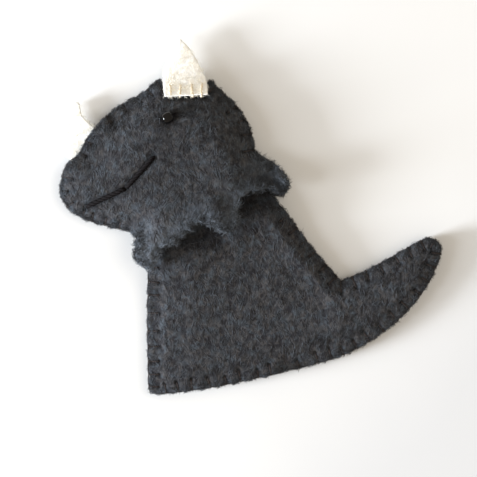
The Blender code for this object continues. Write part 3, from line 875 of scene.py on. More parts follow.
@dataclass
class FeltPiece:
    """A piece cut from felt, made from its CAD node: rounded, lumpy, and drawn in at its stitches.

    Lengths in the fields are in millimetres.
    """

    node: str
    flat: tuple[float, float]
    flat_area: float
    rests_on: str
    slot: Slot = Slot.GREY_FELT
    voxel: float = 0.31
    softening: int = 5
    runs: tuple[StitchRun, ...] = ()
    side: Side = Side.FRONT
    folds: tuple[Fold, ...] = ()
    nudges: tuple[Nudge, ...] = ()
    swell: float = 0.30
    swell_grain: float = 13.0
    swell_margin: float = 1.5
    swell_ease: float = 5.0
    trim: float = 0.10
    bulge: float = 0.52
    pull: float = 0.26
    edge_radius: float = 1.0
    puff: float = 0.22
    puff_gap: float = 1.2
    roll_radius: float = 1.3
    press: StitchPress = StitchPress()
    rim_fuzz_and_light: float = 0.3
    rim_fuzz_and_light_radius: float = 0.9
    free_fuzz_and_light_reach: float = 4.0
    lumps: float = 0.055
    lump_layers: tuple[tuple[float, float, float], ...] = ((1.9, 1.0, 7.0), (0.8, 0.6, 19.0))
    ragged: float = 0.0
    ragged_reach: float = 2.2
    free_edge: tuple[Place, Place] = ((0.0, 0.0), (0.0, 0.0))
    free_edge_ease: float = 2.0
    settle: Optional[Settle] = None
    settle_margin: float = 0.4
    seed: float = 1.0
    rim: Optional[Rim] = None
    piece: Optional[Object] = None
    tree: Optional[BVHTree] = None

    @property
    def name(self) -> str:
        """Return the piece's name in the scene."""
        return f"felt_{self.node}"

    def build(self) -> None:
        """Make the piece's mesh."""
        self.rim = Rim.of_node(self.node)
        shape = solid_of(self.node)
        mesh = bpy.data.meshes.new(self.name)
        shape.to_mesh(mesh)
        shape.free()
        self.piece = link_piece(self.name, mesh)
        remesh = self.piece.modifiers.new("even_mesh", "REMESH")
        remesh.mode = "VOXEL"
        remesh.voxel_size = self.voxel * MM
        bake_modifiers(self.piece)
        self.settle_down()
        soften = self.piece.modifiers.new("soft_edges", "SMOOTH")
        soften.factor = 0.5
        soften.iterations = self.softening
        bake_modifiers(self.piece)
        self.shape_surface()
        self.tree = BVHTree.FromObject(self.piece, bpy.context.evaluated_depsgraph_get())
        LOG.info("%s: %d faces", self.name, len(self.piece.data.polygons))

    def settle_down(self) -> None:
        """Change the mesh's heights by the way the ply has settled."""
        if self.settle is None:
            return
        mesh = self.piece.data
        places = coordinates(mesh)[0]
        gap, _, outward = self.rim.nearest(places[:, :2])
        plan = places[:, :2] - outward * np.maximum(self.settle_margin * MM - gap, 0.0)[:, None]
        places[:, 2] += self.settle.change(plan, self.rim)
        mesh.vertices.foreach_set("co", places.ravel())
        mesh.update()

    def shape_surface(self) -> None:
        """Move the mesh's vertices: folds, stitch marks, drawn-in edges, lumps and a ragged edge; store
        painted shade, pale fuzz and painted light.
        """
        mesh = self.piece.data
        places, normals = coordinates(mesh)
        plan = places[:, :2].copy()
        gap, mark, outward = self.rim.nearest(plan)
        inner = smooth_step((gap - self.swell_margin * MM) / (self.swell_ease * MM))
        lift = self.swell * MM * field_of(np.c_[plan, 0.0 * gap], self.swell_grain, self.seed) * inner
        for fold in self.folds:
            lift += fold.lift(plan)
        places[:, 2] += lift
        for nudge in self.nudges:
            places[:, :2] += nudge.move(plan)
        sewn, beat = self.beat_of(mark)
        edge = bell(gap, self.edge_radius)
        places[:, :2] += outward * (edge * (self.bulge * beat - self.pull * sewn - self.trim) * MM)[:, None]
        facing = facing_share(normals[:, 2], self.side, 0.15, 0.35)
        puff = self.puff * MM * beat * bell(gap - self.puff_gap * MM, self.edge_radius)
        roll = 2.0 * self.puff * MM * sewn * bell(gap, self.roll_radius)
        dent, shade = self.press.marks(self.runs, plan)
        places[:, 2] += self.side.value * facing * (puff - dent - roll)
        push = np.zeros(len(places))
        for grain, share, offset in self.lump_layers:
            push += share * self.lumps * MM * field_of(places, grain, self.seed + offset)
        if self.ragged > 0.0:
            push += self.ragged_push(places, gap, mark)
        places += normals * push[:, None]
        places[:, 2] = np.maximum(places[:, 2], FELT_CLEARANCE * MM)
        mesh.vertices.foreach_set("co", places.ravel())
        # Painted shade from stitch marks and folds, less where folds paint light, stored as the hollow
        # attribute.
        write_attribute(mesh, "hollow", self.fold_shade(plan, shade * facing))
        # Paler fuzz with painted light towards the free edge and the rims.
        free = self.near_free_edge(gap, mark, self.free_fuzz_and_light_reach)
        write_attribute(mesh, "pale_fuzz_and_light", np.maximum(free, self.rim_fuzz_and_light * bell(gap, self.rim_fuzz_and_light_radius)))
        mesh.update()

    def beat_of(self, mark: Array) -> tuple[Array, Array]:
        """Tell how far each place along the rim is between two stitches.

        Args:
            mark: Distances along the rim.

        Returns:
            1 where the edge is stitched and else 0, and a swell of 1 midway between stitches.
        """
        stitched = np.zeros(len(mark))
        beat = np.zeros(len(mark))
        for run in self.runs:
            marks = [stitch.mark for stitch in run.stitches]
            for before, after in zip(marks, marks[1:]):
                if after - before > 2.0 * run.pitch * MM:
                    continue
                for turn in (0.0, self.rim.total):
                    share = (mark + turn - before) / (after - before)
                    inside = (share >= 0.0) & (share < 1.0)
                    beat[inside] = np.sin(math.pi * share[inside])
                    stitched[inside] = 1.0
        return stitched, beat

    def painted_shade_at(self, plan: Array) -> Array:
        """Return the painted shade at each of many places in plan, up to 1, less where folds paint light."""
        return self.fold_shade(plan, self.press.marks(self.runs, plan)[1])

    def fold_shade(self, plan: Array, shade: Array) -> Array:
        """Return the painted shade at many places in plan with the folds' painted shade added and their
        painted light taken off.
        """
        for fold in self.folds:
            if fold.shade > 0.0:
                shade = np.maximum(shade, fold.shade * fold.share(plan))
        for fold in self.folds:
            if fold.shade < 0.0:
                shade = shade + fold.shade * fold.share(plan)
        return shade

    def near_free_edge(self, gap: Array, mark: Array, reach: float) -> Array:
        """Return 1 at the free, unsewn edge, falling to 0 over a reach in millimetres inside it."""
        if self.ragged <= 0.0:
            return np.zeros(len(gap))
        first, last = self.rim.span(*map(in_metres, self.free_edge))
        turn = np.where(mark < first, mark + self.rim.total, mark)
        ease = self.free_edge_ease * MM
        inside = smooth_step((turn - first) / ease) * smooth_step((last - turn) / ease)
        return bell(gap, reach) * inside

    def ragged_push(self, places: Array, gap: Array, mark: Array) -> Array:
        """Return the push along each vertex's normal that makes a free edge tufty."""
        edge = self.near_free_edge(gap, mark, self.ragged_reach)
        tufts = field_of(places, 1.5, self.seed + 31.0) + 0.7 * field_of(places, 3.2, self.seed + 43.0)
        return self.ragged * MM * edge * (tufts + 0.15)

    def surface_point(self, place: Vector, side: Side) -> Vector:
        """Return the point of the outer face over or under a place in plan, or the rim's height off it."""
        start = Vector((place.x, place.y, RAY_HEIGHT * side.value))
        hit = self.tree.ray_cast(start, side.value * DOWN)[0]
        if hit is not None:
            return hit
        near = self.tree.find_nearest(Vector((place.x, place.y, self.rim.ring[0, 2])))
        return Vector((place.x, place.y, near[0].z))

    def dress(self, material: Material, coats: Sequence[Object]) -> None:
        dress_piece(self.piece, material, self.node)


def tube_piece(name: str, strands: Sequence[Array], radii: Sequence[Array], roundness: int) -> Object:
    """Build round strands as one mesh through a bevelled curve.

    Args:
        name: The piece's name.
        strands: Each strand's points, one row each.
        radii: Each strand's radius at its points.
        roundness: Blender's bevel resolution, where 0 is a square section.

    Returns:
        The piece, as a mesh.
    """
    curve = bpy.data.curves.new(name, "CURVE")
    curve.dimensions = "3D"
    curve.bevel_depth = MM
    curve.bevel_resolution = roundness
    curve.use_fill_caps = True
    for points, radius in zip(strands, radii):
        points[:, 2] = np.maximum(points[:, 2], THREAD_CLEARANCE * MM + np.asarray(radius, float))
        spline = curve.splines.new("POLY")
        spline.points.add(len(points) - 1)
        spline.points.foreach_set("co", np.c_[points, np.ones(len(points))].ravel())
        spline.points.foreach_set("radius", np.asarray(radius, float) / MM)
        spline.use_smooth = True
    carrier = link_piece(name + "_curve", curve)
    bpy.context.view_layer.update()
    mesh = finished_mesh(carrier)
    bpy.data.objects.remove(carrier)
    bpy.data.curves.remove(curve)
    mesh.name = name
    mesh.shade_smooth()
    return link_piece(name, mesh)


def resample(points: Sequence[Vector], step: float) -> Array:
    """Return points a step apart along a path, one row each, smoothed through its corners."""
    path = np.array([point[:] for point in points])
    spans = np.linalg.norm(np.diff(path, axis=0), axis=1)
    marks = np.concatenate([[0.0], np.cumsum(spans)])
    count = max(int(marks[-1] / step), 3)
    wanted = np.linspace(0.0, marks[-1], count + 1)
    even = np.column_stack([np.interp(wanted, marks, path[:, axis]) for axis in range(3)])
    for _ in range(2):
        even[1:-1] = 0.25 * even[:-2] + 0.5 * even[1:-1] + 0.25 * even[2:]
    return even


@dataclass(frozen=True)
class Twist:
    """How a thread is spun, in millimetres: strands that wind round each other."""

    strands: int = 2
    strand_radius: float = 0.135
    offset: float = 0.115
    pitch: float = 1.15
    step: float = 0.17

    def spin(self, path: Sequence[Vector], phase: float) -> tuple[list[Array], list[Array]]:
        """Wind the strands along a path.

        Args:
            path: The thread's centreline.
            phase: Where round the thread the first strand starts, in turns.

        Returns:
            Each strand's points, and its radius at them.
        """
        middle = resample(path, self.step * MM)
        along = np.gradient(middle, axis=0)
        along /= np.maximum(np.linalg.norm(along, axis=1), 1e-12)[:, None]
        guide = np.array([0.0, 0.0, 1.0]) if abs(along[0, 2]) < 0.8 else np.array([1.0, 0.0, 0.0])
        first_axis = np.zeros_like(middle)
        for index, direction in enumerate(along):
            guide = guide - direction * float(guide @ direction)
            guide = guide / max(float(np.linalg.norm(guide)), 1e-9)
            first_axis[index] = guide
        second_axis = np.cross(along, first_axis)
        marks = np.concatenate([[0.0], np.cumsum(np.linalg.norm(np.diff(middle, axis=0), axis=1))])
        strands = []
        radii = []
        for index in range(self.strands):
            turn = 2.0 * math.pi * (marks / (self.pitch * MM) + phase + index / self.strands)
            swing = first_axis * np.cos(turn)[:, None] + second_axis * np.sin(turn)[:, None]
            strands.append(middle + self.offset * MM * swing)
            radii.append(np.full(len(middle), self.strand_radius * MM))
        return strands, radii

    def lay(self, name: str, paths: Sequence[tuple[Sequence[Vector], float]]) -> Object:
        """Spin a thread along paths and make it one piece.

        Args:
            name: The piece's name.
            paths: Each path, and the phase at which the thread starts on it.

        Returns:
            The piece.
        """
        strands: list[Array] = []
        radii: list[Array] = []
        for path, phase in paths:
            made, sizes = self.spin(path, phase)
            strands.extend(made)
            radii.extend(sizes)
        return tube_piece(name, strands, radii, 1)


@dataclass
class BlanketThread:
    """The thread of a row of blanket stitches: a cord along the edge and a leg at each stitch.

    Lengths in the fields are in millimetres.
    """

    name: str
    node: str
    run: StitchRun
    upper: FeltPiece
    lower: FeltPiece
    faces: tuple[Side, ...] = (Side.FRONT, Side.BACK)
    twist: Twist = Twist(strand_radius=0.12, offset=0.10)
    cord_out: float = -0.14
    cord_share: float = 0.48
    cord_swell: float = 0.16
    cord_sag: float = 0.12
    inset: float = 0.55
    middle_out: float = 0.20
    corner_out: float = 0.02
    corner_drop: float = 0.18
    leg_lift: float = 0.03
    hole_depth: float = 0.35
    leg_shares: tuple[float, ...] = (0.2, 0.4, 0.6, 0.8, 0.93)
    cord_shares: tuple[float, ...] = (0.0, 0.25, 0.5, 0.75)
    cord_reach: float = 0.5
    leg_phase: float = 0.37
    cord_phase: float = 0.1

    def build(self, material: Material) -> None:
        """Lay the thread on the finished felt and give it its finish."""
        paths = []
        for index, stitch in enumerate(self.run.stitches):
            for path in self.legs(stitch, *self.edge_levels(stitch.mark)):
                paths.append((path, self.leg_phase * index))
        paths.append((self.cord(), self.cord_phase))
        dress_piece(self.twist.lay(self.name, paths), material, self.node)
        LOG.info("%s: %d stitches", self.name, len(self.run.stitches))

    def edge_levels(self, mark: float) -> tuple[float, float]:
        """Return the heights of the lower and the upper corner of the sewn edge at a mark."""
        place = self.upper.rim.at(mark)
        inward = place.to_2d() - self.upper.rim.outward(mark) * self.inset * MM
        top = self.upper.surface_point(inward.to_3d(), Side.FRONT).z
        bottom = self.lower.surface_point(inward.to_3d(), Side.BACK).z
        return bottom, top

    def cord(self) -> list[Vector]:
        """Return the edge cord's path: outside the felt, drawn in a little at each stitch."""
        path = []
        marks = sorted({self.run.first, self.run.last, *(stitch.mark for stitch in self.run.stitches)})
        for before, after in zip(marks, marks[1:]):
            for share in self.cord_shares:
                mark = before + (after - before) * share
                bottom, top = self.edge_levels(mark)
                swell = math.sin(math.pi * share)
                shift = (self.cord_out + self.cord_swell * swell) * MM
                outward = self.upper.rim.outward(mark, self.cord_reach * MM)
                place = self.upper.rim.at(mark).to_2d() + outward * shift
                level = bottom + (top - bottom) * self.cord_share - self.cord_sag * MM * swell
                path.append(Vector((place.x, place.y, level)))
        return path

    def legs(self, stitch: Stitch, bottom: float, top: float) -> list[list[Vector]]:
        """Lead one stitch over its faces: from the felt, round the edge and back in.

        Args:
            stitch: The stitch.
            bottom: The height of the edge's lower corner.
            top: The height of its upper corner.

        Returns:
            One path where the thread goes round the edge, and otherwise one for each face.
        """
        outward = self.upper.rim.outward(stitch.mark)
        root = stitch.root.to_2d()
        edge = root + outward * self.middle_out * MM
        corner = root + outward * self.corner_out * MM
        middle = Vector((edge.x, edge.y, bottom + (top - bottom) * self.cord_share))
        paths = []
        for side in self.faces:
            ply = self.upper if side is Side.FRONT else self.lower
            level = (top if side is Side.FRONT else bottom) - side.value * self.corner_drop * MM
            path = [middle, Vector((corner.x, corner.y, level))]
            for share in self.leg_shares:
                face = ply.surface_point(root.lerp(stitch.hole, share).to_3d(), side)
                path.append(face + Vector((0.0, 0.0, side.value * self.leg_lift * MM)))
            face = ply.surface_point(stitch.hole.to_3d(), side)
            path.append(face - Vector((0.0, 0.0, side.value * self.hole_depth * MM)))
            paths.append(path)
        if len(paths) == 2:
            return [paths[0][::-1] + paths[1][1:]]
        return paths


@dataclass
class FibreCoat:
    """Loose fibres on a felt piece: they lie on its faces, and stand off its edges.

    Lengths in the fields are in millimetres.
    """

    name: str
    host: FeltPiece
    count: int
    length: tuple[float, float] = (0.8, 2.2)
    thickness: tuple[float, float] = (0.05, 0.085)
    lift: tuple[float, float] = (0.02, 0.20)
    curl: float = 1.6
    seed: int = 11
    side: Optional[Side] = None
    edge_gap: float = 0.0
    edge_gap_ease: float = 1.2
    edge_reach: Optional[float] = None
    free_edge_only: bool = False
    free_edge_reach: float = 10.0
    grain: Optional[float] = None
    grain_wander: float = 1.1
    grain_length: float = 7.0
    grain_spread: float = 0.45
    stand: float = 0.0
    root_depth: float = 0.02
    taper: tuple[float, ...] = (0.75, 1.0, 0.9, 0.35)

    def build(self, material: Material) -> Object:
        """Scatter the fibres, give them their wool and return them as one piece."""
        random = np.random.default_rng(self.seed)
        roots, normals = self.scatter(random)
        lengths = random.uniform(*self.length, len(roots)) * MM
        guess = random.normal(size=(len(roots), 3))
        if self.grain is not None:
            wander = self.grain_wander * field_of(roots, self.grain_length, self.seed)
            turn = math.radians(self.grain) + wander + self.grain_spread * guess[:, 0]
            guess = np.c_[np.cos(turn), np.sin(turn), 0.0 * turn]
        along = guess - normals * np.sum(guess * normals, axis=1)[:, None]
        along /= np.linalg.norm(along, axis=1)[:, None]
        if self.stand > 0.0:
            along = along * (1.0 - self.stand) + normals * self.stand
            along /= np.linalg.norm(along, axis=1)[:, None]
        across = np.cross(normals, along)
        bends = random.normal(scale=self.curl, size=len(roots))
        lifts = random.uniform(*self.lift, len(roots)) * MM
        thick = random.uniform(*self.thickness, len(roots)) * MM / 2.0
        taper = np.array(self.taper)
        steps = np.linspace(0.0, 1.0, len(taper))
        strands = []
        radii = []
        for index in range(len(roots)):
            angle = bends[index] * (steps - 0.5)
            forward = np.cumsum(np.cos(angle)) - math.cos(angle[0])
            sideways = np.cumsum(np.sin(angle)) - math.sin(angle[0])
            reach = lengths[index] / (len(steps) - 1)
            rise = lifts[index] * np.sin(math.pi * np.minimum(steps * 1.15, 1.0)) - self.root_depth * MM
            points = (roots[index] + along[index] * (forward * reach)[:, None]
                      + across[index] * (sideways * reach)[:, None] + normals[index] * rise[:, None])
            strands.append(points)
            radii.append(thick[index] * taper)
        piece = tube_piece(self.name, strands, radii, 0)
        if self.side is None or self.side is self.host.side:
            # The fibres take the host's painted shade and painted light, stored as their hollow attribute.
            plan = coordinates(piece.data)[0][:, :2]
            write_attribute(piece.data, "hollow", self.host.painted_shade_at(plan))
        dress_piece(piece, material)
        LOG.info("%s: %d fibres", self.name, len(strands))
        return piece

    def scatter(self, random: np.random.Generator) -> tuple[Array, Array]:
        """Pick the fibres' roots evenly by area.

        Args:
            random: The seeded random numbers.

        Returns:
            The roots and the surface's normals there, one row each.
        """
        mesh = self.host.piece.data
        places, normals = coordinates(mesh)
        mesh.calc_loop_triangles()
        triangles = np.zeros(len(mesh.loop_triangles) * 3, dtype=np.int64)
        mesh.loop_triangles.foreach_get("vertices", triangles)
        triangles = triangles.reshape(-1, 3)
        corners = places[triangles]
        middle = corners.mean(axis=1)
        facing = normals[triangles].mean(axis=1)
        area = np.linalg.norm(np.cross(corners[:, 1] - corners[:, 0], corners[:, 2] - corners[:, 0]), axis=1)
        weight = area * self.weights(middle, facing)
        picks = random.choice(len(triangles), size=self.count, p=weight / weight.sum())
        shares = random.dirichlet((1.0, 1.0, 1.0), self.count)
        roots = np.einsum("ij,ijk->ik", shares, corners[picks])
        towards = facing[picks] / np.maximum(np.linalg.norm(facing[picks], axis=1), 1e-9)[:, None]
        return roots, towards

    def weights(self, middle: Array, facing: Array) -> Array:
        """Return how thickly the fibres lie at each triangle, from its middle and its normal."""
        weight = np.ones(len(middle))
        if self.side is not None:
            weight *= facing_share(facing[:, 2], self.side, -0.1, 0.3)
        if self.edge_gap > 0.0:
            gap = self.host.rim.nearest(middle[:, :2])[0]
            weight *= smooth_step((gap / MM - self.edge_gap) / self.edge_gap_ease)
        if self.edge_reach is not None:
            gap, mark, _ = self.host.rim.nearest(middle[:, :2])
            weight *= bell(gap, self.edge_reach)
            if self.free_edge_only:
                weight *= self.host.near_free_edge(gap, mark, self.free_edge_reach)
        return np.maximum(weight, 1e-9)


@dataclass
class WhipStitch:
    """One short stitch that holds the brow horn down on the crown.

    The slant is how far its lower end is shifted sideways. Lengths are in millimetres.
    """

    name: str
    node: str
    horn: FeltPiece
    ground: FeltPiece
    slant: float
    overlap: float = 0.35
    end_depth: float = 0.45
    thread_depth: float = 0.03
    shares: tuple[float, ...] = (0.0, 0.12, 0.3, 0.5, 0.62, 0.75, 0.9, 1.0)
    phase: float = 0.2
    twist: Twist = Twist(strand_radius=0.20, offset=0.17, pitch=1.8)

    def build(self, material: Material) -> None:
        """Lay the stitch from the horn over its base and into the crown, and give it its finish."""
        low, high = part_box(self.node)
        middle = (low.x + high.x) / 2.0
        top = Vector((middle, high.y))
        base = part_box("brow_horn")[0].y - self.overlap * MM
        bottom = Vector((middle + self.slant * MM, max(low.y, base)))
        path = []
        for share in self.shares:
            place = top.lerp(bottom, share).to_3d()
            on_horn = self.horn.tree.ray_cast(Vector((place.x, place.y, RAY_HEIGHT)), DOWN)[0]
            level = self.ground.surface_point(place, Side.FRONT).z
            if on_horn is not None:
                level = max(level, on_horn.z)
            depth = self.end_depth if share in (0.0, 1.0) else self.thread_depth
            path.append(Vector((place.x, place.y, level - depth * MM)))
        dress_piece(self.twist.lay(self.name, [(path, self.phase)]), material, self.node)
        LOG.info("%s laid", self.name)


@dataclass
class MouthThread:
    """The mouth: two long stitches of black thread drawn into the felt of the snout.

    Lengths in the fields are in millimetres.
    """

    name: str
    node: str
    ground: FeltPiece
    line: tuple[Place, ...]
    height: float = 0.34
    end_drop: float = 0.7
    end_sharpness: int = 10
    points: int = 13
    phase: float = 0.3
    twist: Twist = Twist(strands=3, strand_radius=0.36, offset=0.26, pitch=3.6, step=0.22)

    def build(self, material: Material) -> None:
        """Lay the two stitches in their groove and give them their finish."""
        paths = []
        for number, (start, end) in enumerate(zip(self.line, self.line[1:])):
            first, last = Vector(start) * MM, Vector(end) * MM
            path = []
            for share in np.linspace(0.0, 1.0, self.points):
                face = self.ground.surface_point(first.lerp(last, float(share)).to_3d(), Side.FRONT)
                lift = self.height - self.end_drop * abs(2.0 * float(share) - 1.0) ** self.end_sharpness
                path.append(face + Vector((0.0, 0.0, lift * MM)))
            paths.append((path, self.phase * number))
        dress_piece(self.twist.lay(self.name, paths), material, self.node)
        LOG.info("%s: %d stitches", self.name, len(paths))


@dataclass
class BeadEye:
    """The eye: a fire-polished seed bead on its side, and the thread through its bore.

    Lengths in the fields are in millimetres.
    """

    ground: FeltPiece
    radius: float = 1.5
    length: float = 2.5
    bore: float = 0.4
    squareness: float = 0.9
    section_points: int = 28
    spin_steps: int = 48
    sink: float = 0.70
    shift: Place = (0.2, -1.2)
    turn: float = math.radians(30.0)
    thread_reach: float = 2.3
    shares: tuple[float, ...] = (-1.0, -0.88, -0.7, -0.55, -0.3, 0.3, 0.55, 0.7, 0.88, 1.0)
    twist: Twist = Twist(strand_radius=0.12, offset=0.10, pitch=1.1)

    def build(self, glass: Material, thread: Material) -> None:
        """Make the bead and its thread on the felt and give them their finishes."""
        low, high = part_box("eye_bead")
        centre = (low + high) / 2.0 + Vector((*self.shift, 0.0)) * MM
        centre.z = self.ground.surface_point(centre, Side.FRONT).z + (self.radius - self.sink) * MM
        mesh = self.bead_mesh(Matrix.Translation(centre) @ Matrix.Rotation(self.turn, 4, "Z"))
        dress_piece(link_piece("bead_eye", mesh), glass, "eye_bead")
        laid = self.twist.lay("thread_eye", [(self.thread_path(centre), 0.0)])
        dress_piece(laid, thread, "eye_thread")
        LOG.info("bead_eye: %d faces", len(mesh.polygons))

    def bead_mesh(self, place: Matrix) -> Mesh:
        """Return the bead, spun from its section and put in its place."""
        half = self.length / 2.0
        wall = (self.radius - self.bore) / 2.0
        section = bmesh.new()
        ring = []
        for index in range(self.section_points):
            angle = 2.0 * math.pi * index / self.section_points
            parts = (math.cos(angle), math.sin(angle))
            x, y = (math.copysign(abs(part) ** self.squareness, part) for part in parts)
            ring.append(section.verts.new((x * half * MM, (self.bore + wall + y * wall) * MM, 0.0)))
        edges = [section.edges.new(pair) for pair in zip(ring, ring[1:] + ring[:1])]
        bmesh.ops.spin(section, geom=ring + edges, cent=(0.0, 0.0, 0.0), axis=(1.0, 0.0, 0.0),
                       angle=2.0 * math.pi, steps=self.spin_steps, use_merge=True)
        bmesh.ops.remove_doubles(section, verts=section.verts, dist=1e-7)
        bmesh.ops.recalc_face_normals(section, faces=section.faces)
        bmesh.ops.transform(section, matrix=place, verts=section.verts)
        mesh = bpy.data.meshes.new("bead_eye")
        section.to_mesh(mesh)
        section.free()
        mesh.shade_smooth()
        return mesh

    def thread_path(self, centre: Vector) -> list[Vector]:
        """Return the thread's path through the bore and down into the felt at both ends."""
        axis = Vector((math.cos(self.turn), math.sin(self.turn), 0.0))
        path = []
        for share in self.shares:
            point = centre + axis * share * self.thread_reach * MM
            end_lift = -0.4 if abs(share) > 0.9 else 0.1
            end = self.ground.surface_point(point, Side.FRONT).z + end_lift * MM
            blend = min(max((abs(share) - 0.5) / 0.4, 0.0), 1.0)
            point.z = centre.z * (1.0 - blend) + end * blend
            path.append(point)
        return path


@dataclass
class Studio:
    """The white table, the tall window to the left, the soft room light and the camera above.

    The camera's view is in millimetres; lengths of the lamps and the table are in metres.
    """

    middle: Place = (-3.1, -5.2)
    frame_width: float = 119.25
    lens: float = 400.0
    sensor: float = 36.0
    clip: tuple[float, float] = (0.05, 20.0)
    table_reach: float = 4.0
    window_distance: float = 0.95
    window_turn: float = math.radians(16.0)
    window_width: float = 0.30
    # Low edge, high edge and power of each pane.
    panes: tuple[tuple[float, float, float], ...] = ((0.13, 0.34, 19.6), (0.34, 0.90, 6.2))
    window_colour: tuple[float, float, float] = (0.88, 0.935, 1.0)
    wall_turn: float = math.radians(10.0)
    wall_height: float = math.radians(52.0)
    wall_distance: float = 1.3
    wall_size: float = 1.1
    wall_watts: float = 5.6
    wall_colour: tuple[float, float, float] = (1.0, 0.92, 0.79)
    room_level: float = 0.38
    room_colour: Colour = (1.0, 0.89, 0.745, 1.0)

    def build(self) -> None:
        """Put up the camera, the table, the window and the room light."""
        self.camera()
        self.table()
        self.window()
        self.wall()
        self.room()
        LOG.info("studio ready")

    def camera(self) -> None:
        """Place the camera straight above the puppet."""
        data = bpy.data.cameras.new("camera")
        data.lens = self.lens
        data.sensor_width = self.sensor
        camera = link_piece("camera", data)
        height = self.frame_width * MM * self.lens / self.sensor
        camera.location = (*in_metres(self.middle), height)
        data.clip_start, data.clip_end = self.clip
        bpy.context.scene.camera = camera

    def table(self) -> None:
        """Lay the white table."""
        shape = bmesh.new()
        bmesh.ops.create_grid(shape, x_segments=1, y_segments=1, size=self.table_reach)
        mesh = bpy.data.meshes.new("table_top")
        shape.to_mesh(mesh)
        shape.free()
        table = link_piece("table_top", mesh)
        table.data.materials.append(TableTop().material())

    def lamp(self, name: str, size: Place, watts: float, colour: tuple[float, float, float],
             place: Vector, side: Vector) -> Object:
        """Hang one area lamp that the camera doesn't see.

        Args:
            name: The lamp's name.
            size: Its width and height.
            watts: Its power.
            colour: Its colour.
            place: Where it hangs.
            side: The direction that it shines against.

        Returns:
            The lamp.
        """
        data = bpy.data.lights.new(name, "AREA")
        data.shape = "RECTANGLE"
        data.size, data.size_y = size
        data.energy = watts
        data.color = colour
        lamp = link_piece(name, data)
        lamp.location = place
        lamp.rotation_mode = "QUATERNION"
        lamp.rotation_quaternion = (-side).to_track_quat("-Z", "Y")
        lamp.visible_camera = False
        return lamp

    def window(self) -> None:
        """Hang the lamps that stand for the window's panes."""
        side = Vector((-math.cos(self.window_turn), -math.sin(self.window_turn), 0.0))
        for number, (low, high, watts) in enumerate(self.panes, start=1):
            place = side * self.window_distance
            place.z = (low + high) / 2.0
            size = (self.window_width, high - low)
            self.lamp(f"window_pane_{number}", size, watts, self.window_colour, place, side)

    def wall(self) -> None:
        """Hang the broad soft lamp that stands for the pale wall to the right."""
        level = math.cos(self.wall_height)
        side = Vector((level * math.cos(self.wall_turn), level * math.sin(self.wall_turn),
                       math.sin(self.wall_height)))
        size = (self.wall_size, self.wall_size)
        place = side * self.wall_distance
        lamp = self.lamp("pale_wall", size, self.wall_watts, self.wall_colour, place, side)
        lamp.visible_glossy = False

    def room(self) -> None:
        """Fill the room with even light; the camera sees it white."""
        world = bpy.data.worlds.new("room")
        world.use_nodes = True
        graph = Graph(world.node_tree)
        seen = graph.add("ShaderNodeLightPath").outputs["Is Camera Ray"]
        graph.give(world.node_tree.nodes["Background"], {
            "Color": graph.mix(seen, self.room_colour, WHITE),
            "Strength": graph.scaled(seen, 1.0 - self.room_level, self.room_level),
        })
        bpy.context.scene.world = world
        bpy.context.scene.view_settings.view_transform = "Standard"


# Wool layers: angle, length, width, curl, thinness, gaps, strength and seed.
GREY_PALE_LAYERS = (
    WoolLayer(88.0, 5.0, 1.15, 2.0, 0.090, 0.42, 0.45, 3.1),
    WoolLayer(70.0, 4.0, 1.00, 2.0, 0.080, 0.46, 0.40, 7.7),
    WoolLayer(106.0, 4.2, 1.05, 2.0, 0.080, 0.46, 0.40, 12.4),
    WoolLayer(40.0, 2.8, 0.70, 1.8, 0.055, 0.52, 0.35, 21.9),
    WoolLayer(140.0, 2.8, 0.70, 1.8, 0.055, 0.52, 0.35, 33.3),
)
GREY_DARK_LAYERS = (
    WoolLayer(93.0, 4.4, 1.40, 2.0, 0.120, 0.40, 0.62, 41.2),
    WoolLayer(62.0, 3.4, 1.20, 2.0, 0.105, 0.44, 0.52, 52.8),
    WoolLayer(122.0, 3.4, 1.20, 2.0, 0.105, 0.44, 0.52, 63.5),
)
CREAM_PALE_LAYERS = (
    WoolLayer(90.0, 5.0, 0.60, 0.6, 0.080, 0.35, 0.55, 5.5),
    WoolLayer(80.0, 4.0, 0.55, 0.9, 0.070, 0.42, 0.45, 15.5),
)
CREAM_DARK_LAYERS = (
    WoolLayer(92.0, 7.0, 0.90, 0.6, 0.110, 0.42, 0.75, 25.5),
    WoolLayer(86.0, 5.0, 0.80, 0.9, 0.090, 0.46, 0.60, 35.5),
)

GREY_FELT = HeatherFelt(
    name="heather_felt",
    shadow=screen_colour(36, 35, 39),
    ground=screen_colour(61, 63, 67),
    pale=screen_colour(87, 89, 93),
    cool=screen_colour(79, 87, 95),
    warm=screen_colour(84, 82, 82),
    pale_fuzz_and_lit_colour=screen_colour(100, 109, 120),
    pale_layers=GREY_PALE_LAYERS,
    dark_layers=GREY_DARK_LAYERS,
)
CREAM_FELT = HeatherFelt(
    name="cream_felt",
    shadow=screen_colour(254, 250, 241),
    ground=screen_colour(255, 255, 253),
    pale=screen_colour(255, 255, 255),
    cool=screen_colour(255, 255, 255),
    warm=screen_colour(255, 252, 243),
    pale_fuzz_and_lit_colour=screen_colour(255, 255, 255),
    pale_layers=CREAM_PALE_LAYERS,
    dark_layers=CREAM_DARK_LAYERS,
    cloudiness=0.02,
    relief=0.25,
    sheen=0.25,
)
GREY_WOOL = FibreWool(
    name="grey_wool",
    tones=(screen_colour(38, 37, 40), screen_colour(60, 62, 66), screen_colour(84, 90, 98)),
)
FRILL_WOOL = FibreWool(
    name="frill_wool",
    tones=(screen_colour(58, 61, 65), screen_colour(82, 87, 94), screen_colour(106, 114, 124)),
)
CREAM_WOOL = FibreWool(
    name="cream_wool",
    tones=(screen_colour(250, 244, 226), screen_colour(253, 250, 238), screen_colour(255, 254, 248)),
)
DARK_THREAD = SewingThread(
    name="dark_sewing_thread",
    deep=screen_colour(40, 36, 37),
    face=screen_colour(78, 69, 67),
    roughness=0.8,
    sheen=0.05,
)
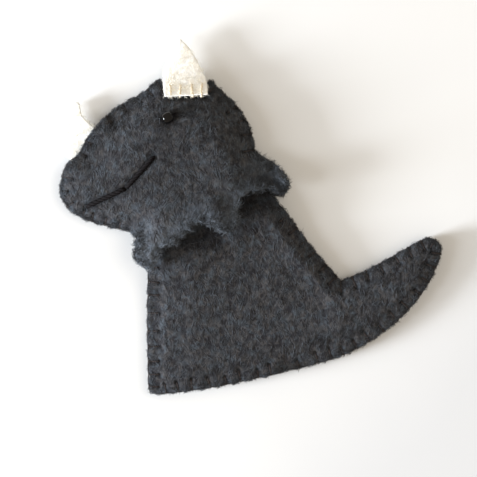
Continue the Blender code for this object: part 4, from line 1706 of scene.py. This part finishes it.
CREAM_THREAD = SewingThread(
    name="cream_sewing_thread",
    deep=screen_colour(240, 222, 192),
    face=screen_colour(254, 245, 226),
)
BLACK_THREAD = SewingThread(
    name="black_embroidery_thread",
    deep=screen_colour(8, 6, 7),
    face=screen_colour(27, 22, 25),
    roughness=0.85,
    sheen=0.0,
)

# Seams, with the holes where the photograph shows a stitch going in, and even stitches between them.
LEFT_SEAM = StitchRun(
    start=(-25.0, -7.2), end=(-25.25, -43.1), pitch=3.8, seed=3,
    holes=((-22.8, -19.3), (-22.8, -23.8), (-22.8, -28.3), (-22.8, -32.1), (-22.8, -35.8), (-22.8, -39.1)),
)
HEM_SEAM = StitchRun(
    start=(-22.9, -43.8), end=(8.4, -38.3), pitch=3.8, seed=4,
    holes=((-15.0, -39.8), (-6.4, -40.0), (-3.1, -38.0), (1.6, -38.3), (4.5, -36.5)),
)
TAIL_SEAM = StitchRun(
    start=(10.0, -38.0), end=(8.2, 1.9), pitch=3.8, seed=5,
    holes=((11.6, -35.9), (16.0, -33.6), (22.5, -32.7), (27.8, -28.1), (34.5, -23.3), (37.4, -20.9),
           (41.0, -18.1), (43.6, -11.5), (26.3, -17.7), (22.5, -19.3), (19.0, -16.8), (17.1, -13.4),
           (14.5, -9.7), (12.1, -7.0), (9.5, -4.1), (6.6, -1.4)),
)
CROWN_SEAM = StitchRun(
    start=(0.75, 16.8), end=(-37.7, 23.6), pitch=3.5, seed=6,
    holes=((-3.8, 16.0), (-3.4, 23.5), (-6.0, 25.9), (-8.0, 29.1), (-24.8, 30.7), (-27.7, 29.0),
           (-31.3, 27.1), (-34.9, 23.8)),
)
NOSE_SEAM = StitchRun(
    start=(-40.3, 20.3), end=(-44.6, 14.4), pitch=3.3, seed=7,
    holes=((-40.1, 18.6), (-41.5, 15.5)),
)
SNOUT_SEAM = StitchRun(
    start=(-46.5, 12.2), end=(-30.3, -3.3), pitch=3.5, seed=8,
    holes=((-46.5, 6.6), (-45.1, 3.2), (-41.3, 1.9), (-39.3, 0.6), (-36.0, -0.3), (-32.4, -0.8)),
)
FRILL_EDGE = (SNOUT_SEAM.end, CROWN_SEAM.start)

MOUTH_LINE = ((-41.0, 2.7), (-31.1, 7.3), (-24.1, 15.1))
# Folds: start, end, radius, height and shade, where the shade is painted shade and a negative one painted
# light. Nudges: place, radius and shift.
# Painted shade along the mouth groove.
MOUTH_FOLDS = tuple(Fold(start, end, 0.9, -0.55, 0.9) for start, end in zip(MOUTH_LINE, MOUTH_LINE[1:]))
FACE_FOLDS = (
    # Painted light on the head's right side and on the snout.
    Fold((-7.0, 19.0), (-5.0, 11.0), 4.0, 0.4, -0.10),
    Fold((-37.0, 8.0), (-31.0, 14.0), 4.0, 0.3, -0.08),
    # Painted shade round the bead, its painted shadow to the right, and painted shade under the brow horn's
    # base.
    Fold((-20.9, 24.8), (-20.5, 24.9), 2.2, -0.5, 0.8),
    Fold((-19.5, 25.2), (-17.0, 26.2), 1.3, -0.35, 0.75),
    Fold((-21.8, 29.7), (-11.0, 29.8), 0.6, -0.45, 0.8),
)
FRILL_FOLDS = (
    # Painted light on the left lobe.
    Fold((-25.0, -9.0), (-22.5, -1.5), 3.0, 0.6, -0.95),
    # Painted shade between the lobes, on the middle lobe, above the frill's edge and on the right lobe.
    Fold((-15.5, 3.4), (-11.5, 2.9), 2.6, -0.2, 0.35),
    Fold((-9.5, 2.6), (-6.4, -3.0), 2.8, 0.8, 0.25),
    Fold((0.0, 7.6), (5.0, 9.4), 2.6, -0.5, 0.45),
    Fold((6.6, 10.8), (8.6, 9.8), 2.0, 0.0, 0.45),
    Fold((4.5, 8.6), (8.2, 6.6), 2.6, -1.0, 0.85),
)
FRILL_NUDGES = (
    Nudge((-21.0, -9.4), 3.0, (-1.5, 1.3)),
    Nudge((9.8, 11.4), 3.2, (-1.4, 0.1)),
    Nudge((5.5, 5.6), 2.6, (-0.3, 0.9)),
    Nudge((0.2, 5.4), 5.0, (-2.2, 1.4)),
)
SLEEVE_FOLDS = (
    # Painted shadow of the frill's lobes on the sleeve; the last fold is only a ridge.
    Fold((-16.5, -5.6), (-8.8, -4.4), 3.6, -1.3, 0.66),
    Fold((-14.0, -4.8), (-12.0, -4.6), 2.2, -0.3, 0.9),
    Fold((-3.4, 2.2), (3.4, 5.0), 4.2, -1.2, 1.0),
    Fold((22.0, -24.0), (41.0, -14.0), 3.6, 0.8),
)
HORN_FOLDS = (
    Fold((-17.6, 44.4), (-17.4, 44.6), 9.0, 1.5),
)
WHIP_SLANTS = (0.3, -0.2, 0.35, -0.3)


class Puppet:
    """The whole finger puppet, built in order: felt, threads, horns, face, fuzz."""

    def __init__(self) -> None:
        """Name the pieces of felt."""
        body = {"flat": (73.0, 59.9), "flat_area": 2572.0, "runs": (LEFT_SEAM, HEM_SEAM, TAIL_SEAM)}
        head = {"flat": (56.8, 47.1), "flat_area": 1543.0, "runs": (CROWN_SEAM, NOSE_SEAM, SNOUT_SEAM),
                "free_edge": FRILL_EDGE}
        back = {"rests_on": "table_top", "side": Side.BACK, "swell": 0.1}
        horn = {"slot": Slot.CREAM_FELT, "voxel": 0.2, "swell": 0.0}
        self.body_front = FeltPiece(
            "body_front", rests_on="felt_body_back", folds=SLEEVE_FOLDS, settle=SleeveSettle(),
            puff=0.11, rim_fuzz_and_light=0.15, seed=2.0, **body,
        )
        self.body_back = FeltPiece("body_back", seed=3.0, **body, **back)
        self.head_front = FeltPiece(
            "head_front", rests_on="felt_body_front", folds=MOUTH_FOLDS + FACE_FOLDS + FRILL_FOLDS,
            nudges=FRILL_NUDGES, ragged=0.55, settle=HeadSettle(), seed=4.0, **head,
        )
        self.head_back = FeltPiece("head_back", ragged=0.24, seed=5.0, **head, **back)
        self.brow_horn = FeltPiece(
            "brow_horn", (11.1, 14.5), 110.0, "felt_head_front", softening=3, trim=0.0, lumps=0.08,
            folds=HORN_FOLDS, seed=6.0, **horn,
        )
        self.nose_horn = FeltPiece(
            "nose_horn", (10.8, 16.8), 90.5, "felt_head_back", softening=2, trim=-0.25, lumps=0.07,
            seed=7.0, **horn,
        )

    def build(self) -> None:
        """Build and dress every piece."""
        wool = wool_layer_group()
        grey_felt = GREY_FELT.material(wool)
        cream_felt = CREAM_FELT.material(wool)
        grey_wool = GREY_WOOL.material()
        frill_wool = FRILL_WOOL.material()
        cream_wool = CREAM_WOOL.material()
        for ply in (self.body_front, self.head_front):
            rim = Rim.of_node(ply.node)
            for run in ply.runs:
                run.lay_out(rim)
        for ply in (self.body_back, self.body_front, self.head_back, self.head_front):
            ply.build()
            ply.dress(grey_felt, self.grey_coats(ply, grey_wool, frill_wool))
        for horn in (self.brow_horn, self.nose_horn):
            horn.build()
            coat = FibreCoat(f"fuzz_{horn.node}", horn, 700, length=(0.5, 1.5), thickness=(0.04, 0.07),
                             stand=0.35, seed=70 + int(horn.seed))
            horn.dress(cream_felt, [coat.build(cream_wool)])
        self.sew()
        self.face()

    def grey_coats(self, ply: FeltPiece, wool: Material, frill_wool: Material) -> list[Object]:
        """Scatter the loose fibres of a grey ply.

        Args:
            ply: The finished ply.
            wool: The material of its fibres.
            frill_wool: The material of those on its free edge.

        Returns:
            The coats' pieces.
        """
        front = ply.side is Side.FRONT
        seed = int(ply.seed)
        thick = (0.07, 0.12)
        coats = [
            FibreCoat(f"fuzz_{ply.node}", ply, 3000 if front else 1500, side=ply.side, seed=10 + seed,
                      grain=86.0, length=(1.2, 3.2), thickness=(0.07, 0.13), lift=(-0.04, 0.07), curl=0.9,
                      edge_gap=0.7).build(wool),
            FibreCoat(f"edge_fuzz_{ply.node}", ply, 5400 if front else 4600, seed=30 + seed,
                      length=(0.4, 1.05), thickness=thick, edge_reach=0.9, stand=0.35).build(wool),
        ]
        if ply.ragged > 0.0:
            frill = FibreCoat(f"frill_fuzz_{ply.node}", ply, 2600 if front else 900, seed=50 + seed,
                              length=(0.7, 1.8), thickness=thick, edge_reach=1.8,
                              free_edge_only=True, stand=0.4, curl=1.3)
            coats.append(frill.build(frill_wool))
        return coats

    def sew(self) -> None:
        """Sew the seams and hold down the brow horn."""
        thread = DARK_THREAD.material()
        front, back = self.body_front, self.body_back
        head, nape = self.head_front, self.head_back
        front_only, back_only = (Side.FRONT,), (Side.BACK,)
        for piece in (
            BlanketThread("thread_left_seam", "left_seam_thread", LEFT_SEAM, front, back, cord_out=0.10),
            BlanketThread("thread_hem_front", "hem_thread_front", HEM_SEAM, front, front),
            BlanketThread("thread_hem_back", "hem_thread_back", HEM_SEAM, back, back),
            BlanketThread("thread_tail_seam", "tail_seam_thread", TAIL_SEAM, front, back),
            BlanketThread("thread_crown_seam", "crown_seam_thread", CROWN_SEAM, head, nape),
            BlanketThread("thread_snout_seam", "snout_seam_thread", SNOUT_SEAM, head, nape),
            BlanketThread("thread_nose_front", "nose_horn_thread_front", NOSE_SEAM, head, head, front_only),
            BlanketThread("thread_nose_back", "nose_horn_thread_back", NOSE_SEAM, nape, nape, back_only),
        ):
            piece.build(thread)
        cream = CREAM_THREAD.material()
        for number, slant in enumerate(WHIP_SLANTS, start=1):
            node = f"brow_horn_stitch_{number}"
            WhipStitch(f"whip_stitch_{number}", node, self.brow_horn, head, slant).build(cream)

    def face(self) -> None:
        """Sew the mouth and the eye."""
        black = BLACK_THREAD.material()
        MouthThread("thread_mouth", "mouth_thread", self.head_front, MOUTH_LINE).build(black)
        BeadEye(self.head_front).build(BeadGlass().material(), black)


def main() -> None:
    """Dress the puppet and light it."""
    logging.basicConfig(level=logging.INFO, format="%(message)s")
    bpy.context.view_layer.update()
    Studio().build()
    Puppet().build()


if __name__ == "__main__":
    main()
